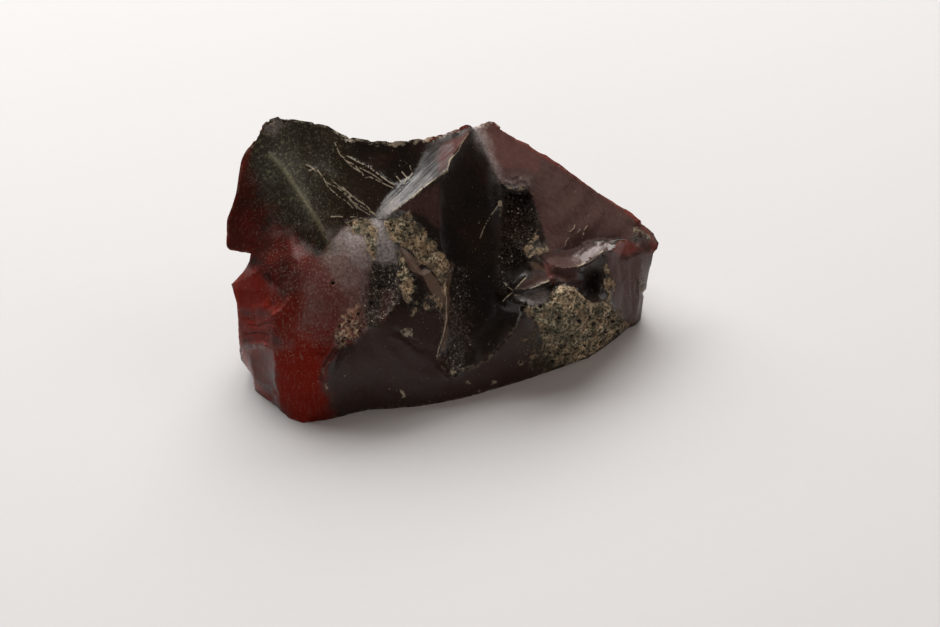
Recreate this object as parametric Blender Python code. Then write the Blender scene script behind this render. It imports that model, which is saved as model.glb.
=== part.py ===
"""Obsidian chunk: one broken lump of volcanic glass with a patch of its pitted rind.

A knapped stone is all ridges and scars. Each ridge here is a named line of points, and the glass between
ridges is a skin stretched over them that dishes in or bulges out by the depth of its scar. The near side
and the far side are two such skins that meet along the outline.

A point is (across, down, back): its column and row on a square sighting grid as seen from one eye point,
and how far back it stands, in millimetres. GROUND in place of the last number puts it on the ground plane.
The ridges are drawn a little small, and the finished stone is scaled up to its length.
"""

import math

import bmesh
import bpy
import numpy as np
from mathutils import Vector, noise
from mathutils.geometry import delaunay_2d_cdt

# Driving dimensions
STONE_LENGTH = 95.0  # mm, left tip to right tip, once finished
CELL = 0.2189  # mm, the side of a sighting cell at the aim point
EYE_DISTANCE = 490.0  # mm, from the eye to the aim point
EYE_ELEVATION = math.radians(38.0)
AIM_POINT = Vector((6.0, 0.0, 3.0))  # mm, where the middle of the sighting grid falls
GRID_MIDDLE = (470.0, 313.5)  # cells
NEAR_SPACING = 6.5  # cells between points of the near skin
FAR_SPACING = 10.0  # cells between points of the far skin
KNOB_SPACING = 4.5  # cells, on the knob of rind
KNOB_MIDDLE = (580, 328)  # cells
KNOB_REACH = 46  # cells
CLEARANCE = 0.62  # of the spacing, that other points keep from a ridge
LUMP_SIZE = 5.0  # mm, across a lump of the rind
MILLIMETRE = 0.001
MERGE = 1e-6  # m
INSIDE = 1  # keeps only the triangles inside the outline

GROUND = None

SIGHT = Vector((0.0, math.cos(EYE_ELEVATION), -math.sin(EYE_ELEVATION)))
GRID_RIGHT = Vector((1.0, 0.0, 0.0))
GRID_UP = Vector((0.0, math.sin(EYE_ELEVATION), math.cos(EYE_ELEVATION)))
EYE = AIM_POINT - EYE_DISTANCE * SIGHT

# The outline, clockwise from the top of the left wing.
TOP_RIM = [
    (278, 116.5, 6.5), (288, 118, 6.5), (300, 120.5, 6.5), (315, 122.5, 6.5), (328, 126, 6.5), (335, 130.5, 6),
    (342, 134.5, 5.5), (350, 137, 5), (365, 139.5, 4.5), (380, 141, 4), (400, 141, 4), (415, 139, 5),
    (430, 137, 6.5), (443, 134, 8), (452, 131, 9.5), (460, 127, 11), (467, 124, 12),
]
PEAK = [(474, 127, 12), (480, 123, 13), (487, 121, 13.5), (494, 122, 14)]
RIGHT_SLOPE = [
    (501, 127.5, 14), (510, 135.5, 13.5), (520, 140.5, 13), (528, 144, 13), (533, 148.5, 12.5), (538, 152, 12),
    (546, 155, 12), (553, 160.5, 11.5), (560, 164, 11.5), (571, 173.5, 11), (575, 175.5, 11), (590, 187, 10.5),
    (608, 199, 10), (629, 211, 9), (640.5, 220, 8), (642, 224, 8),
]
RIGHT_TIP = [
    (649.5, 229, 7.5), (653.5, 233.5, 7), (657, 240, 6), (660, 246, 5), (657, 249, 4.5), (653, 253.5, 4),
]
RIGHT_END = [
    (651.5, 262, 4), (649.5, 270, 4), (646, 289, 3.5), (642.5, 293, 2.5), (643.5, 297, 2.5), (642, 310, 2),
    (640.5, 320, GROUND),
]
FOOT = [
    (636, 325, GROUND), (627, 328.5, GROUND), (620, 335, GROUND), (606, 346, GROUND), (588, 358, GROUND),
    (575, 362, GROUND), (558, 368.5, GROUND), (528, 379, GROUND), (498, 388, GROUND), (468, 397, GROUND),
    (444, 402, GROUND), (420, 406, GROUND), (396, 408.5, GROUND), (370, 409.5, GROUND), (350, 414, GROUND),
    (336, 418, GROUND), (320, 421, GROUND), (303, 423, GROUND), (290, 419, GROUND), (280, 411.5, GROUND),
    (268, 401, GROUND), (255, 390.5, GROUND),
]
LEFT_CHIPS = [
    (252, 377, -22), (247, 368, -20), (241, 360, -18.5), (239, 353, -18), (238.5, 342, -17.5), (238, 328, -17),
    (238, 321, -16.5), (237, 309, -15.5), (236.5, 303, -15), (233, 291, -14), (231, 284, -13),
]
NOTCH = [(243, 272, -13.5), (249, 262, -13), (250.5, 253.5, -12), (240, 252, -10.5), (230, 250.5, -9.5)]
WING_EDGE = [
    (226, 247, -9), (226.5, 232, -8.5), (226.5, 220, -8), (232, 206, -6.5), (236, 193, -5), (239, 172, -2.5),
    (241, 160, -1), (246, 150, 0.5), (252, 144, 1.5), (258, 133, 3), (260, 128, 4), (267, 120, 5.5),
]
OUTLINE = (
    TOP_RIM + PEAK + RIGHT_SLOPE + RIGHT_TIP + RIGHT_END + FOOT + LEFT_CHIPS + NOTCH + WING_EDGE
)

NEAR_RIDGES = {
    "wing rib": [
        (273, 158, -0.2), (285, 172, -2.6), (295, 190, -5.6), (305, 205, -8.4), (315, 220, -11),
        (323, 234, -13.6), (327, 246, -15.4),
    ],
    "wing foot": [
        (250.5, 253.5, -12), (264, 257, -15), (282, 260, -17), (304, 257, -17.2), (327, 246, -15.4),
    ],
    "upper hackle": [
        (335, 130.5, 6), (336, 142, 3.6), (340, 154, 1.6), (350, 157, 1.2), (365, 167, -0.6),
        (380, 177, -2.4), (396, 186, -4),
    ],
    "lower hackle": [
        (322, 170, -1.4), (335, 180, -3.4), (345, 192, -5.2), (357, 199, -6.4), (368, 209, -7.6),
        (376, 217, -8.5),
    ],
    "shelf foot": [
        (376, 217, -8.5), (382, 208, -7.6), (388, 198, -6), (396, 186, -4), (408, 180, -2.6),
        (416, 172, -1), (421, 160, 1.5), (427, 150, 3.6), (434, 146, 4.6), (445, 143, 5.8),
        (452, 139.5, 7), (460, 134, 9.5), (467, 124, 12),
    ],
    "crest": [
        (376, 217, -8.5), (388, 215, -10), (400, 208, -9.6), (412, 199, -8.2), (424, 188, -6.4),
        (436, 178, -4.4), (447, 170, -2.4), (452, 158, 0.6), (457, 148, 4), (463, 140, 7.4),
        (468, 132, 10), (474, 127, 12),
    ],
    "valley lip": [(447, 170, -2.4), (441, 185, -4.6), (440, 205, -7.2), (440, 226, -9.6), (440, 246, -12)],
    "plate top": [
        (327, 246, -15.4), (335, 236, -13), (345, 227, -10.5), (358, 223, -9.6), (376, 217, -8.5),
    ],
    "tooth": [(231, 284, -13), (240, 281, -15), (252, 274, -17), (262, 268, -17.5)],
    "chip edge": [
        (250.5, 253.5, -12), (262, 268, -17.5), (276, 284, -20.8), (289, 296, -23.4), (284, 308, -24.6),
        (274, 318, -25.2), (272, 335, -27), (273, 350, -28), (276, 362, -29), (275, 378, -29.6),
        (278, 392, -30.2), (281, 403, -30.6), (280, 411.5, GROUND),
    ],
    "chip ledge 1": [(237, 309, -15.5), (252, 309, -19.6), (264, 307, -22.4), (274, 318, -25.2)],
    "chip ledge 2": [
        (238, 321, -16.5), (246, 318, -18.2), (256, 323, -20.8), (266, 321, -24), (272, 335, -27),
    ],
    "chip step 2": [
        (246, 318, -18.2), (250, 326, -20.4), (258, 330, -23), (266, 329, -25.2), (272, 335, -27),
    ],
    "chip ledge 3": [(238.5, 342, -17.5), (250, 340, -20.9), (262, 339, -24.4), (273, 350, -28)],
    "chip step 3": [(238.5, 342, -17.5), (250, 344, -22), (262, 343.5, -25.2), (273, 350, -28)],
    "chip corner": [(239, 353, -18), (250, 344, -22)],
    "chip ledge 4": [(250, 344, -22), (250, 358, -22.6), (254, 378, -24), (255, 390.5, GROUND)],
    "chip ledge 5": [(254, 378, -24), (263, 384, -26.6), (271, 386, -28.2), (278, 392, -30.2)],
    "corner strip": [
        (340, 342, -28), (334, 344, -28.8), (322, 358, -30.8), (320, 372, -31.8), (321, 385, -32.4),
        (325, 400, -32.6),
    ],
    "front corner": [
        (340, 342, -28), (338, 352, -29.2), (331, 362, -30.6), (325.5, 375, -31.6), (325, 390, -32.4),
        (325, 400, -32.6), (329, 409, -32.4), (336, 418, GROUND),
    ],
    "pit rim": [
        (376, 262, -16), (368, 270, -17.5), (364, 282, -19.5), (360, 298, -22.5), (363, 310, -24),
        (368, 322, -25.5), (375, 326, -26), (384, 320, -24.8), (391, 311, -23.4), (397, 303, -22.2),
        (398, 290, -20.4), (396, 276, -18.2), (388, 267, -16.6), (376, 262, -16),
    ],
    "pit to corner": [(368, 322, -25.5), (358, 333, -26.8), (350, 341, -27.4), (340, 342, -28)],
    "leaf upper": [
        (388, 215, -10), (396, 230, -12), (405, 243, -13.6), (415, 255, -14.8), (424, 268, -15.6),
        (433, 271, -15.2), (440, 280, -15.6), (446, 295, -16.6),
    ],
    "leaf lower": [(396, 276, -18.2), (400, 262, -16.6), (398, 246, -14.8), (396, 230, -12)],
    "leaf middle": [
        (398, 246, -14.8), (408, 262, -16.6), (421, 276, -17.6), (430, 292, -18.6), (438, 303, -18.8),
        (446, 308, -18),
    ],
    "front top": [(397, 303, -22.2), (410, 300, -21), (425, 306, -20.4), (438, 303, -18.8)],
    "valley west": [
        (400, 208, -9.6), (410, 213, -10.4), (420, 228, -11.2), (430, 238, -11.7), (440, 246, -12),
        (446, 256, -12.4), (447, 266, -13.2), (443, 275, -14.4), (444, 284, -15.4), (446, 295, -16.6),
        (446, 308, -18), (446, 318, -19.4), (444, 330, -21), (440, 342, -22.6), (437, 356, -24),
        (438, 362, -24.6), (441, 367, -25), (446, 373, -25.6), (450, 380, -26.2), (455, 380, -26),
    ],
    "valley foot": [
        (455, 380, -26), (456, 371, -25), (465, 369, -24.4), (476, 366, -23.6), (486, 360, -22.6),
        (494, 352, -21.6), (503, 342, -20.4), (510, 335, -19.4), (516, 325, -18.2), (520, 314, -17.2),
        (519, 305, -16.4),
    ],
    "valley east": [
        (474, 127, 12), (478, 138, 9.6), (483, 147, 7.8), (487, 156, 6.2), (491, 165, 4.8),
        (494, 174, 3.6), (500, 182, 2.6), (508, 188, 2.2), (517, 190.5, 2.6), (527, 188, 4),
        (533, 197, 2.8), (537, 210, 0.7), (540, 226, -2.1), (544, 240, -4.4), (550, 252, -6.2),
    ],
    "lobe foot": [(500, 182, 2.6), (508, 192, 3.8), (518, 195, 4.2), (529, 194, 4), (533, 197, 2.8)],
    "peppered rib": [
        (500, 182, 2.6), (501, 204, -0.2), (499, 232, -3.6), (495, 252, -6.4), (492, 272, -9),
        (495, 290, -12), (506, 300, -15), (519, 305, -16.4),
    ],
    "east shoulder": [
        (550, 252, -6.2), (538, 250, -6.8), (522, 250, -7.6), (528, 262, -9.6), (531, 271, -11.2),
        (521, 283, -13), (513, 291, -14.2), (519, 305, -16.4),
    ],
    "flake top": [(531, 271, -11.2), (541, 270, -10.6), (552, 279, -12.2)],
    "silver flake": [(513, 291, -14.2), (528, 289, -15.2), (540, 285, -14.8), (552, 279, -12.2)],
    "second flake": [(513, 291, -14.2), (530, 293.5, -13.8), (545, 290, -13), (552, 279, -12.2)],
    "dark groove": [(538, 250, -6.8), (546, 262, -9), (552, 279, -12.2)],
    "upper ledge": [
        (550, 252, -6.2), (562, 251, -4.8), (572, 250, -3.4), (580, 247, -2), (588, 241, -0.3),
        (598, 239, 0.9), (610, 240, 2), (622, 239, 3), (630, 240, 3.2), (638, 247, 2.4),
        (640, 253, 1.6), (653, 253.5, 4),
    ],
    "ledge lip": [
        (546, 262, -9), (562, 268, -10.4), (575, 267, -9), (582, 265, -7.6), (590, 259, -5.6),
        (598, 254, -4.2), (604, 251, -3.2), (612, 252, -2.4), (618, 243, 0.4), (625, 239.5, 3),
    ],
    "hollow rim": [
        (552, 279, -12.2), (566, 283, -12.6), (578, 287, -11.6), (586, 295, -10.6), (594, 298, -9.4),
        (599, 298, -8.4), (601, 285, -5.4), (604, 272, -3.4), (612, 252, -2.4),
    ],
    "tip chip": [(642, 224, 8), (634, 230, 5.6), (633, 240, 3.4), (640, 253, 1.6)],
    "end flute": [(604, 272, -3.4), (613, 268, -2.4), (622, 262, -0.8), (640, 253, 1.6)],
    "end rib": [(613, 268, -2.4), (615, 282, -3), (616, 293, -3.6), (611, 303, -5.6)],
    "end corner": [
        (640, 253, 1.6), (641, 268, 1.2), (638, 285, 0.6), (640, 300, 0.6), (638, 312, 0.2),
        (636, 325, GROUND),
    ],
    "crust top": [
        (519, 305, -16.4), (528, 303, -17.2), (538, 304.5, -17.2), (547, 302, -16), (553, 294, -14.6),
        (557, 287, -13.6), (566, 283, -12.6),
    ],
    "crust brow": [
        (530, 309, -18.4), (541, 310, -18.2), (550, 306, -17.4), (557, 298, -16.4), (563, 290, -15.4),
        (572, 290, -14.8), (582, 298, -14), (592, 303, -12.6), (603, 305, -10.6), (613, 310, -8.4),
        (619, 319, -7), (619, 330, -7),
    ],
    "crust east": [
        (599, 298, -8.4), (611, 303, -5.6), (618, 310, -4.4), (623, 318, -3.4), (625, 326, -2.6),
        (627, 328.5, GROUND),
    ],
    "crust west": [
        (519, 305, -16.4), (530, 317, -17.2), (541, 323, -16.6), (547, 333, -16.4), (549, 345, -16.4),
        (550, 358, -16), (558, 368.5, GROUND),
    ],
}

# (seed cell inside the facet, how deep it dishes in, in mm; a negative depth bulges out)
NEAR_SCARS = {
    "left of the rib": ((262, 210), 0.9),
    "right of the rib": ((310, 160), 0.8),
    "upper bowl": ((385, 160), 0.6),
    "bright shelf": ((405, 195), 0.5),
    "beside the crest": ((430, 200), -0.4),
    "main plate": ((315, 290), -2.4),
    "valley": ((465, 260), 3.5),
    "valley east wall": ((515, 235), 1.2),
    "right facet": ((570, 205), -0.8),
    "front face": ((400, 370), -1.2),
    "pit": ((380, 295), 1.8),
    "ledge": ((580, 255), 0.8),
    "hollow": ((590, 278), 3.6),
    "right end": ((628, 285), 0.4),
    "crust knob": ((590, 325), -2.6),
    "grey chip": ((262, 362), 0.8),
    "upper chips": ((262, 290), 0.6),
}

# (seed cell, height of the lumps in mm): where the skin is weathered rind and not glass
RIND = {
    "knob": ((590, 325), 1.2),
    "band": ((420, 240), 0.7),
    "band foot": ((430, 285), 0.5),
    "pit floor": ((380, 295), 0.9),
    "valley wall": ((515, 235), 0.5),
    "shoulder patch": ((533, 262), 0.6),
}

# Ridges of the far side, as (x, y, z) in mm; a name in place of a point is a point of the outline.
FAR_RIDGES = {
    "back foot": [
        (640.5, 320, GROUND), Vector((43, 9, 0)), Vector((36, 18, 0)), Vector((24, 20.5, 0)),
        Vector((12, 26.5, 0)), Vector((-4, 25, 0)), Vector((-17, 23.5, 0)), Vector((-27, 16, 0)),
        Vector((-35, 6, 0)), Vector((-38, -4, 0)), Vector((-41.5, -13, 0)), (255, 390.5, GROUND),
    ],
    "back spine": [
        (487, 121, 13.5), Vector((9, 20.5, 35)), Vector((12, 24.5, 27)), Vector((11, 27, 19)),
        Vector((15, 27.5, 9)), Vector((12, 26.5, 0)),
    ],
    "wing back": [
        (300, 120.5, 6.5), Vector((-26, 12, 38)), Vector((-24, 17, 27)), Vector((-25, 20, 16)),
        Vector((-29, 18, 7)), Vector((-27, 16, 0)),
    ],
    "shoulder back": [
        (571, 173.5, 11), Vector((29, 16, 22)), Vector((33, 19, 13)), Vector((35, 20, 6)),
        Vector((36, 18, 0)),
    ],
    "back ledge": [
        Vector((-25, 20, 16)), Vector((-16, 24.5, 13)), Vector((-5, 27.5, 15)), Vector((4, 27, 18)),
        Vector((11, 27, 19)), Vector((18, 24, 14)), Vector((26, 22.5, 15)), Vector((33, 19, 13)),
        Vector((39, 13, 10)), (643.5, 297, 2.5),
    ],
    "tooth back": [(231, 284, -13), Vector((-43.5, -8, 14)), Vector((-40, 0, 9)), Vector((-35, 6, 0))],
    "wing keel": [(226.5, 232, -8.5), Vector((-40, 2, 25)), Vector((-34, 10, 20)), Vector((-25, 20, 16))],
}
FAR_SCARS = {
    "back hollow": (Vector((-6, 22, 30)), 2.8),
    "back right": (Vector((22, 20, 22)), 1.4),
    "back swell": (Vector((-6, 26, 7)), -1.2),
    "right swell": (Vector((24, 23, 6)), 0.8),
    "wing back": (Vector((-33, 8, 33)), 0.9),
    "wing underside": (Vector((-35, 8, 12)), 1.2),
}
BASE_SEED = Vector((0, 0, 0))  # a place on the flat underside


def rayThrough(across, down):
    """From the eye through a cell, as long as it takes to go one step deeper along the sight."""
    sideways = (across - GRID_MIDDLE[0]) * CELL / EYE_DISTANCE
    upward = (GRID_MIDDLE[1] - down) * CELL / EYE_DISTANCE
    return SIGHT + GRID_RIGHT * sideways + GRID_UP * upward


def onGrid(point):
    """A point's cell and nearness. Nearness is 1 / depth, which runs straight along a straight line."""
    if isinstance(point, Vector):
        seen = point - EYE
        depth = seen.dot(SIGHT)
        scale = EYE_DISTANCE / depth / CELL
        across = GRID_MIDDLE[0] + seen.dot(GRID_RIGHT) * scale
        down = GRID_MIDDLE[1] - seen.dot(GRID_UP) * scale
        return (across, down, 1 / depth)
    across, down, back = point
    ray = rayThrough(across, down)
    depth = -EYE.z / ray.z if back is GROUND else (back - EYE.y) / ray.y
    return (float(across), float(down), 1 / depth)


def divided(points, spacing):
    """The line with points added so that none are further apart than the spacing."""
    made = []
    for start, end in zip(points, points[1:]):
        steps = max(1, math.ceil(math.hypot(end[0] - start[0], end[1] - start[1]) / spacing))
        made += [tuple(s + (e - s) * i / steps for s, e in zip(start, end)) for i in range(steps)]
    return made + [points[-1]]


def isInside(across, down, loop):
    """Whether a cell lies inside a closed loop."""
    crossings = 0
    for (x0, y0, _), (x1, y1, _) in zip(loop, loop[1:] + loop[:1]):
        if (y0 > down) != (y1 > down) and across < x0 + (down - y0) / (y1 - y0) * (x1 - x0):
            crossings += 1
    return crossings % 2 == 1


def lattice(outline, lines, spacing):
    """Points on a triangular lattice inside the outline, clear of every ridge."""
    placed = np.array([p[:2] for line in [outline, *lines] for p in line])
    low, high = placed.min(0), placed.max(0)
    points = []
    for step, wantsKnob in ((spacing, False), (KNOB_SPACING, True)):
        for i, down in enumerate(np.arange(low[1], high[1], step * math.sqrt(3) / 2)):
            for across in np.arange(low[0] + (i % 2) * step / 2, high[0], step):
                onKnob = math.hypot(across - KNOB_MIDDLE[0], down - KNOB_MIDDLE[1]) < KNOB_REACH
                clear = np.hypot(placed[:, 0] - across, placed[:, 1] - down).min() > CLEARANCE * step
                if onKnob == wantsKnob and clear and isInside(across, down, outline):
                    points.append((across, down))
    return points


def netOf(outline, lines, spacing):
    """A triangle net over the outline with every ridge in it, and the nearness that the ridges pin."""
    pinned = [p for line in [outline, *lines] for p in line]
    edges = [(i, (i + 1) % len(outline)) for i in range(len(outline))]
    start = len(outline)
    for line in lines:
        edges += [(start + i, start + i + 1) for i in range(len(line) - 1)]
        start += len(line)
    cells = [Vector(p[:2]) for p in pinned] + [Vector(p) for p in lattice(outline, lines, spacing)]
    whole = [list(range(len(outline)))]
    where, netEdges, triangles, sources, edgeSources, _ = delaunay_2d_cdt(cells, edges, whole, INSIDE, 1e-3)
    nearness = np.full(len(where), np.nan)
    for i, ids in enumerate(sources):
        if ids and min(ids) < len(pinned):
            nearness[i] = pinned[min(ids)][2]
    ridgePairs = {tuple(sorted(e)) for e, ids in zip(netEdges, edgeSources) if ids}
    return where, triangles, nearness, ridgePairs


def stretchSkin(outline, ridges, scars, rind, spacing, inward):
    """One side of the stone: places in space, triangles, and a way to look up a facet's points."""
    lines = [divided([onGrid(p) for p in ridge], spacing) for ridge in ridges.values()]
    where, triangles, nearness, ridgePairs = netOf(outline, lines, spacing)
    free, flat, dish = hang(where, nearness, triangles)
    nearness[free] = flat
    depth = 1 / nearness
    facets = facetsOf(triangles, ridgePairs)

    def pointsAt(seed):
        return sorted({v for t in facetAt(seed, facets, triangles, where) for v in triangles[t]})

    for seed, dip in scars.values():
        members = np.isin(free, pointsAt(seed))
        if members.any():
            depth[free[members]] += inward * dip * dish[members] / dish[members].max()
    places = [EYE + rayThrough(*c) * d for c, d in zip(where, depth)]
    for seed, height in rind.values():
        for v in np.intersect1d(pointsAt(seed), free):
            lump = noise.fractal(places[v] / LUMP_SIZE, 1.0, 2.0, 2)
            places[v] -= rayThrough(*where[v]) * inward * height * lump
    return places, triangles, pointsAt


def hang(where, nearness, triangles):
    """The free points' nearness as a stretched skin takes it, and how far each would sag under a load."""
    count = len(where)
    weights = np.zeros((count, count))
    for tri in triangles:
        for i in range(3):
            a, b, c = (where[tri[(i + k) % 3]] for k in range(3))
            cotangent = (a - c).dot(b - c) / max(abs((a - c).cross(b - c)), 1e-9) / 2
            one, two = tri[i], tri[(i + 1) % 3]
            weights[one, two] += cotangent
            weights[two, one] += cotangent
    free = np.flatnonzero(np.isnan(nearness))
    held = np.flatnonzero(~np.isnan(nearness))
    stiffness = np.diag(weights.sum(1)) - weights
    pull = -stiffness[np.ix_(free, held)] @ nearness[held]
    load = np.ones(len(free))
    flat, dish = np.linalg.solve(stiffness[np.ix_(free, free)], np.stack([pull, load], 1)).T
    return free, flat, dish


def facetsOf(triangles, ridgePairs):
    """Groups of triangles that no ridge parts."""
    sides = {}
    for t, tri in enumerate(triangles):
        for pair in ((tri[0], tri[1]), (tri[1], tri[2]), (tri[2], tri[0])):
            sides.setdefault(tuple(sorted(pair)), []).append(t)
    touching = [[] for _ in triangles]
    for pair, around in sides.items():
        if pair not in ridgePairs and len(around) == 2:
            touching[around[0]].append(around[1])
            touching[around[1]].append(around[0])
    taken = set()
    facets = []
    for t in range(len(triangles)):
        if t in taken:
            continue
        taken.add(t)
        facet, waiting = [], [t]
        while waiting:
            here = waiting.pop()
            facet.append(here)
            fresh = [n for n in touching[here] if n not in taken]
            taken.update(fresh)
            waiting += fresh
        facets.append(facet)
    return facets


def facetAt(seed, facets, triangles, where):
    """The facet whose triangle holds the seed, a cell or a place in space."""
    spot = Vector(onGrid(seed)[:2]) if isinstance(seed, Vector) else Vector(seed)
    for facet in facets:
        for t in facet:
            a, b, c = (where[v] for v in triangles[t])
            turns = [(q - p).cross(spot - p) for p, q in ((a, b), (b, c), (c, a))]
            if min(turns) >= 0 or max(turns) <= 0:
                return facet
    raise ValueError(f"no facet holds {seed}")


def addSkin(stone, places, triangles, towardEye):
    """Adds one side's faces to the mesh, all facing out."""
    verts = [stone.verts.new(p * MILLIMETRE) for p in places]
    for tri in triangles:
        face = stone.faces.new([verts[v] for v in tri])
        face.normal_update()
        if (face.normal.dot(face.calc_center_median() - EYE * MILLIMETRE) < 0) != towardEye:
            face.normal_flip()


def obsidianMaterial():
    """Black volcanic glass with a brown cast, glossy but slightly frosted."""
    material = bpy.data.materials.new("obsidian")
    material.use_nodes = True
    shader = material.node_tree.nodes["Principled BSDF"]
    shader.inputs["Base Color"].default_value = (0.045, 0.03, 0.03, 1)
    shader.inputs["Roughness"].default_value = 0.28
    shader.inputs["Metallic"].default_value = 0
    shader.inputs["IOR"].default_value = 1.49
    return material


def makeStone():
    """Both skins sewn together along the outline, standing on the ground with its middle at the origin."""
    outline = divided([onGrid(p) for p in [*OUTLINE, OUTLINE[0]]], NEAR_SPACING)[:-1]
    near, nearTriangles, _ = stretchSkin(outline, NEAR_RIDGES, NEAR_SCARS, RIND, NEAR_SPACING, 1)
    far, farTriangles, pointsAt = stretchSkin(outline, FAR_RIDGES, FAR_SCARS, {}, FAR_SPACING, -1)
    for v in pointsAt(BASE_SEED):
        far[v] = EYE + (far[v] - EYE) * (EYE.z / (EYE.z - far[v].z))
    stone = bmesh.new()
    addSkin(stone, near, nearTriangles, True)
    addSkin(stone, far, farTriangles, False)
    bmesh.ops.remove_doubles(stone, verts=stone.verts, dist=MERGE)
    ears = [f for f in stone.faces if any(len(e.link_faces) == 1 for e in f.edges)]
    bmesh.ops.delete(stone, geom=ears, context="FACES")
    low = Vector([min(v.co[i] for v in stone.verts) for i in range(3)])
    high = Vector([max(v.co[i] for v in stone.verts) for i in range(3)])
    shift = Vector((-(low.x + high.x) / 2, -(low.y + high.y) / 2, -low.z))
    bmesh.ops.translate(stone, verts=stone.verts, vec=shift)
    bmesh.ops.scale(stone, verts=stone.verts, vec=[STONE_LENGTH * MILLIMETRE / (high.x - low.x)] * 3)
    mesh = bpy.data.meshes.new("obsidian_chunk")
    stone.to_mesh(mesh)
    stone.free()
    mesh.materials.append(obsidianMaterial())
    return bpy.data.objects.new("obsidian_chunk", mesh)


def main():
    for obj in list(bpy.data.objects):
        bpy.data.objects.remove(obj)
    collection = bpy.data.collections.new("obsidian chunk")
    bpy.context.scene.collection.children.link(collection)
    collection.objects.link(makeStone())


main()
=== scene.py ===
import math

import bpy
import numpy as np
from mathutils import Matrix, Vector, kdtree, noise


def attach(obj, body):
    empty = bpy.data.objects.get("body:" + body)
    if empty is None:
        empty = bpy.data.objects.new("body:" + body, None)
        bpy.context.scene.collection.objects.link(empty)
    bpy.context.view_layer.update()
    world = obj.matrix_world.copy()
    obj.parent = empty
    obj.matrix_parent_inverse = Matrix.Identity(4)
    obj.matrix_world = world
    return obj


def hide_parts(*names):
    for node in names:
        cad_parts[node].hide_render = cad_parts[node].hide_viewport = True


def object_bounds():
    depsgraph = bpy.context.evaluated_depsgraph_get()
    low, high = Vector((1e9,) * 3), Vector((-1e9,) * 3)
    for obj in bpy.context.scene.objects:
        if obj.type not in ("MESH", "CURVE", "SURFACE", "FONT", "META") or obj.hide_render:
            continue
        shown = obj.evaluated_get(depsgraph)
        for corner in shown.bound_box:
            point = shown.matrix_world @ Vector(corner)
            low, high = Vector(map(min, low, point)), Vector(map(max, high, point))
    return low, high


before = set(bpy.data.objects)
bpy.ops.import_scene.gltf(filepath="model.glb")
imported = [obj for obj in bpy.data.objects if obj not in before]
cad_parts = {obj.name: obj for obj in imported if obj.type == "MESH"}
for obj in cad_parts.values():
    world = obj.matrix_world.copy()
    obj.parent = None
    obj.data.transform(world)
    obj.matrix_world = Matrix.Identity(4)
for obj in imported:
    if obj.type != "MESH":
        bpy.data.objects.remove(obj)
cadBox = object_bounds()
mm = 0.001
print("frame loaded, box", [round(side / mm, 1) for side in cadBox[1] - cadBox[0]], "mm")


# The near side is laid out on a sighting grid: the cells that an eye at the camera sees,
# numbered across and down. A cell is about 0.23 mm wide at the stone.

sighting = {
    "eye": Vector((5.2, -396.5, 315.2)),  # mm
    "aim": Vector((5.2, 2.9, 3.1)),
    "lens": 85.73,
    "sensor": 36.0,
    "cellsWide": 940.0,
    "cellsHigh": 627.0,
    "seen": (-0.03, 0.05),  # how far the skin turns to the eye where the near side fades in
}
sight = (sighting["aim"] - sighting["eye"]).normalized()
rightward = sight.cross(Vector((0, 0, 1))).normalized()
upward = rightward.cross(sight)


def cellsOf(places):
    offset = places - np.array(sighting["eye"])
    scale = sighting["lens"] / sighting["sensor"] * sighting["cellsWide"] / (offset @ np.array(sight))
    across = sighting["cellsWide"] / 2 + offset @ np.array(rightward) * scale
    down = sighting["cellsHigh"] / 2 - offset @ np.array(upward) * scale
    return np.stack([across, down], 1)


# Small tools.

def makeActive(piece):
    if bpy.context.object and bpy.context.object.mode != "OBJECT":
        bpy.ops.object.mode_set(mode="OBJECT")
    bpy.ops.object.select_all(action="DESELECT")
    piece.select_set(True)
    bpy.context.view_layer.objects.active = piece


def readPoints(piece, what):
    flat = np.zeros(len(piece.data.vertices) * 3)
    piece.data.vertices.foreach_get(what, flat)
    return flat.reshape(-1, 3)


def movePoints(piece, places):
    piece.data.vertices.foreach_set("co", (places * mm).ravel())
    piece.data.update()


def ramp(low, high, value):
    t = np.clip((value - low) / (high - low), 0, 1)
    return t * t * (3 - 2 * t)


def fractal(places, size, octaves=3):
    return np.array([noise.fractal(Vector(place) / size, 1.0, 2.0, octaves) for place in places])


def bell(gap, width):
    # one where the gap is nothing, fading out past the width
    return np.exp(-(gap / width) ** 2)


def finderOf(points):
    finder = kdtree.KDTree(len(points))
    for index, point in enumerate(points):
        finder.insert(point, index)
    finder.balance()
    return finder


def toSpot(spots, across, down):
    return np.hypot(spots[:, 0] - across, spots[:, 1] - down)


def toSegment(spots, a, b):
    along = b - a
    t = np.clip(((spots - a) @ along) / max(along @ along, 1e-9), 0, 1)
    return np.hypot(*(spots - (a + t[:, None] * along)).T)


def toLine(spots, points):
    points = np.array(points, float)
    return np.min([toSegment(spots, a, b) for a, b in zip(points, points[1:])], 0)


def toNearest(spots, lines):
    return np.min([toLine(spots, line) for line in lines], 0)


def insideBy(spots, corners):
    # how many cells inside a closed outline each spot lies, below zero outside it
    corners = np.array(corners, float)
    ends = np.roll(corners, -1, 0)
    inside = np.zeros(len(spots), bool)
    for a, b in zip(corners, ends):
        if a[1] != b[1]:
            reach = a[0] + (spots[:, 1] - a[1]) / (b[1] - a[1]) * (b[0] - a[0])
            inside ^= ((a[1] > spots[:, 1]) != (b[1] > spots[:, 1])) & (spots[:, 0] < reach)
    nearest = np.min([toSegment(spots, a, b) for a, b in zip(corners, ends)], 0)
    return np.where(inside, nearest, -nearest)


# The stone's own surface: a finer copy of the CAD solid.

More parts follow.
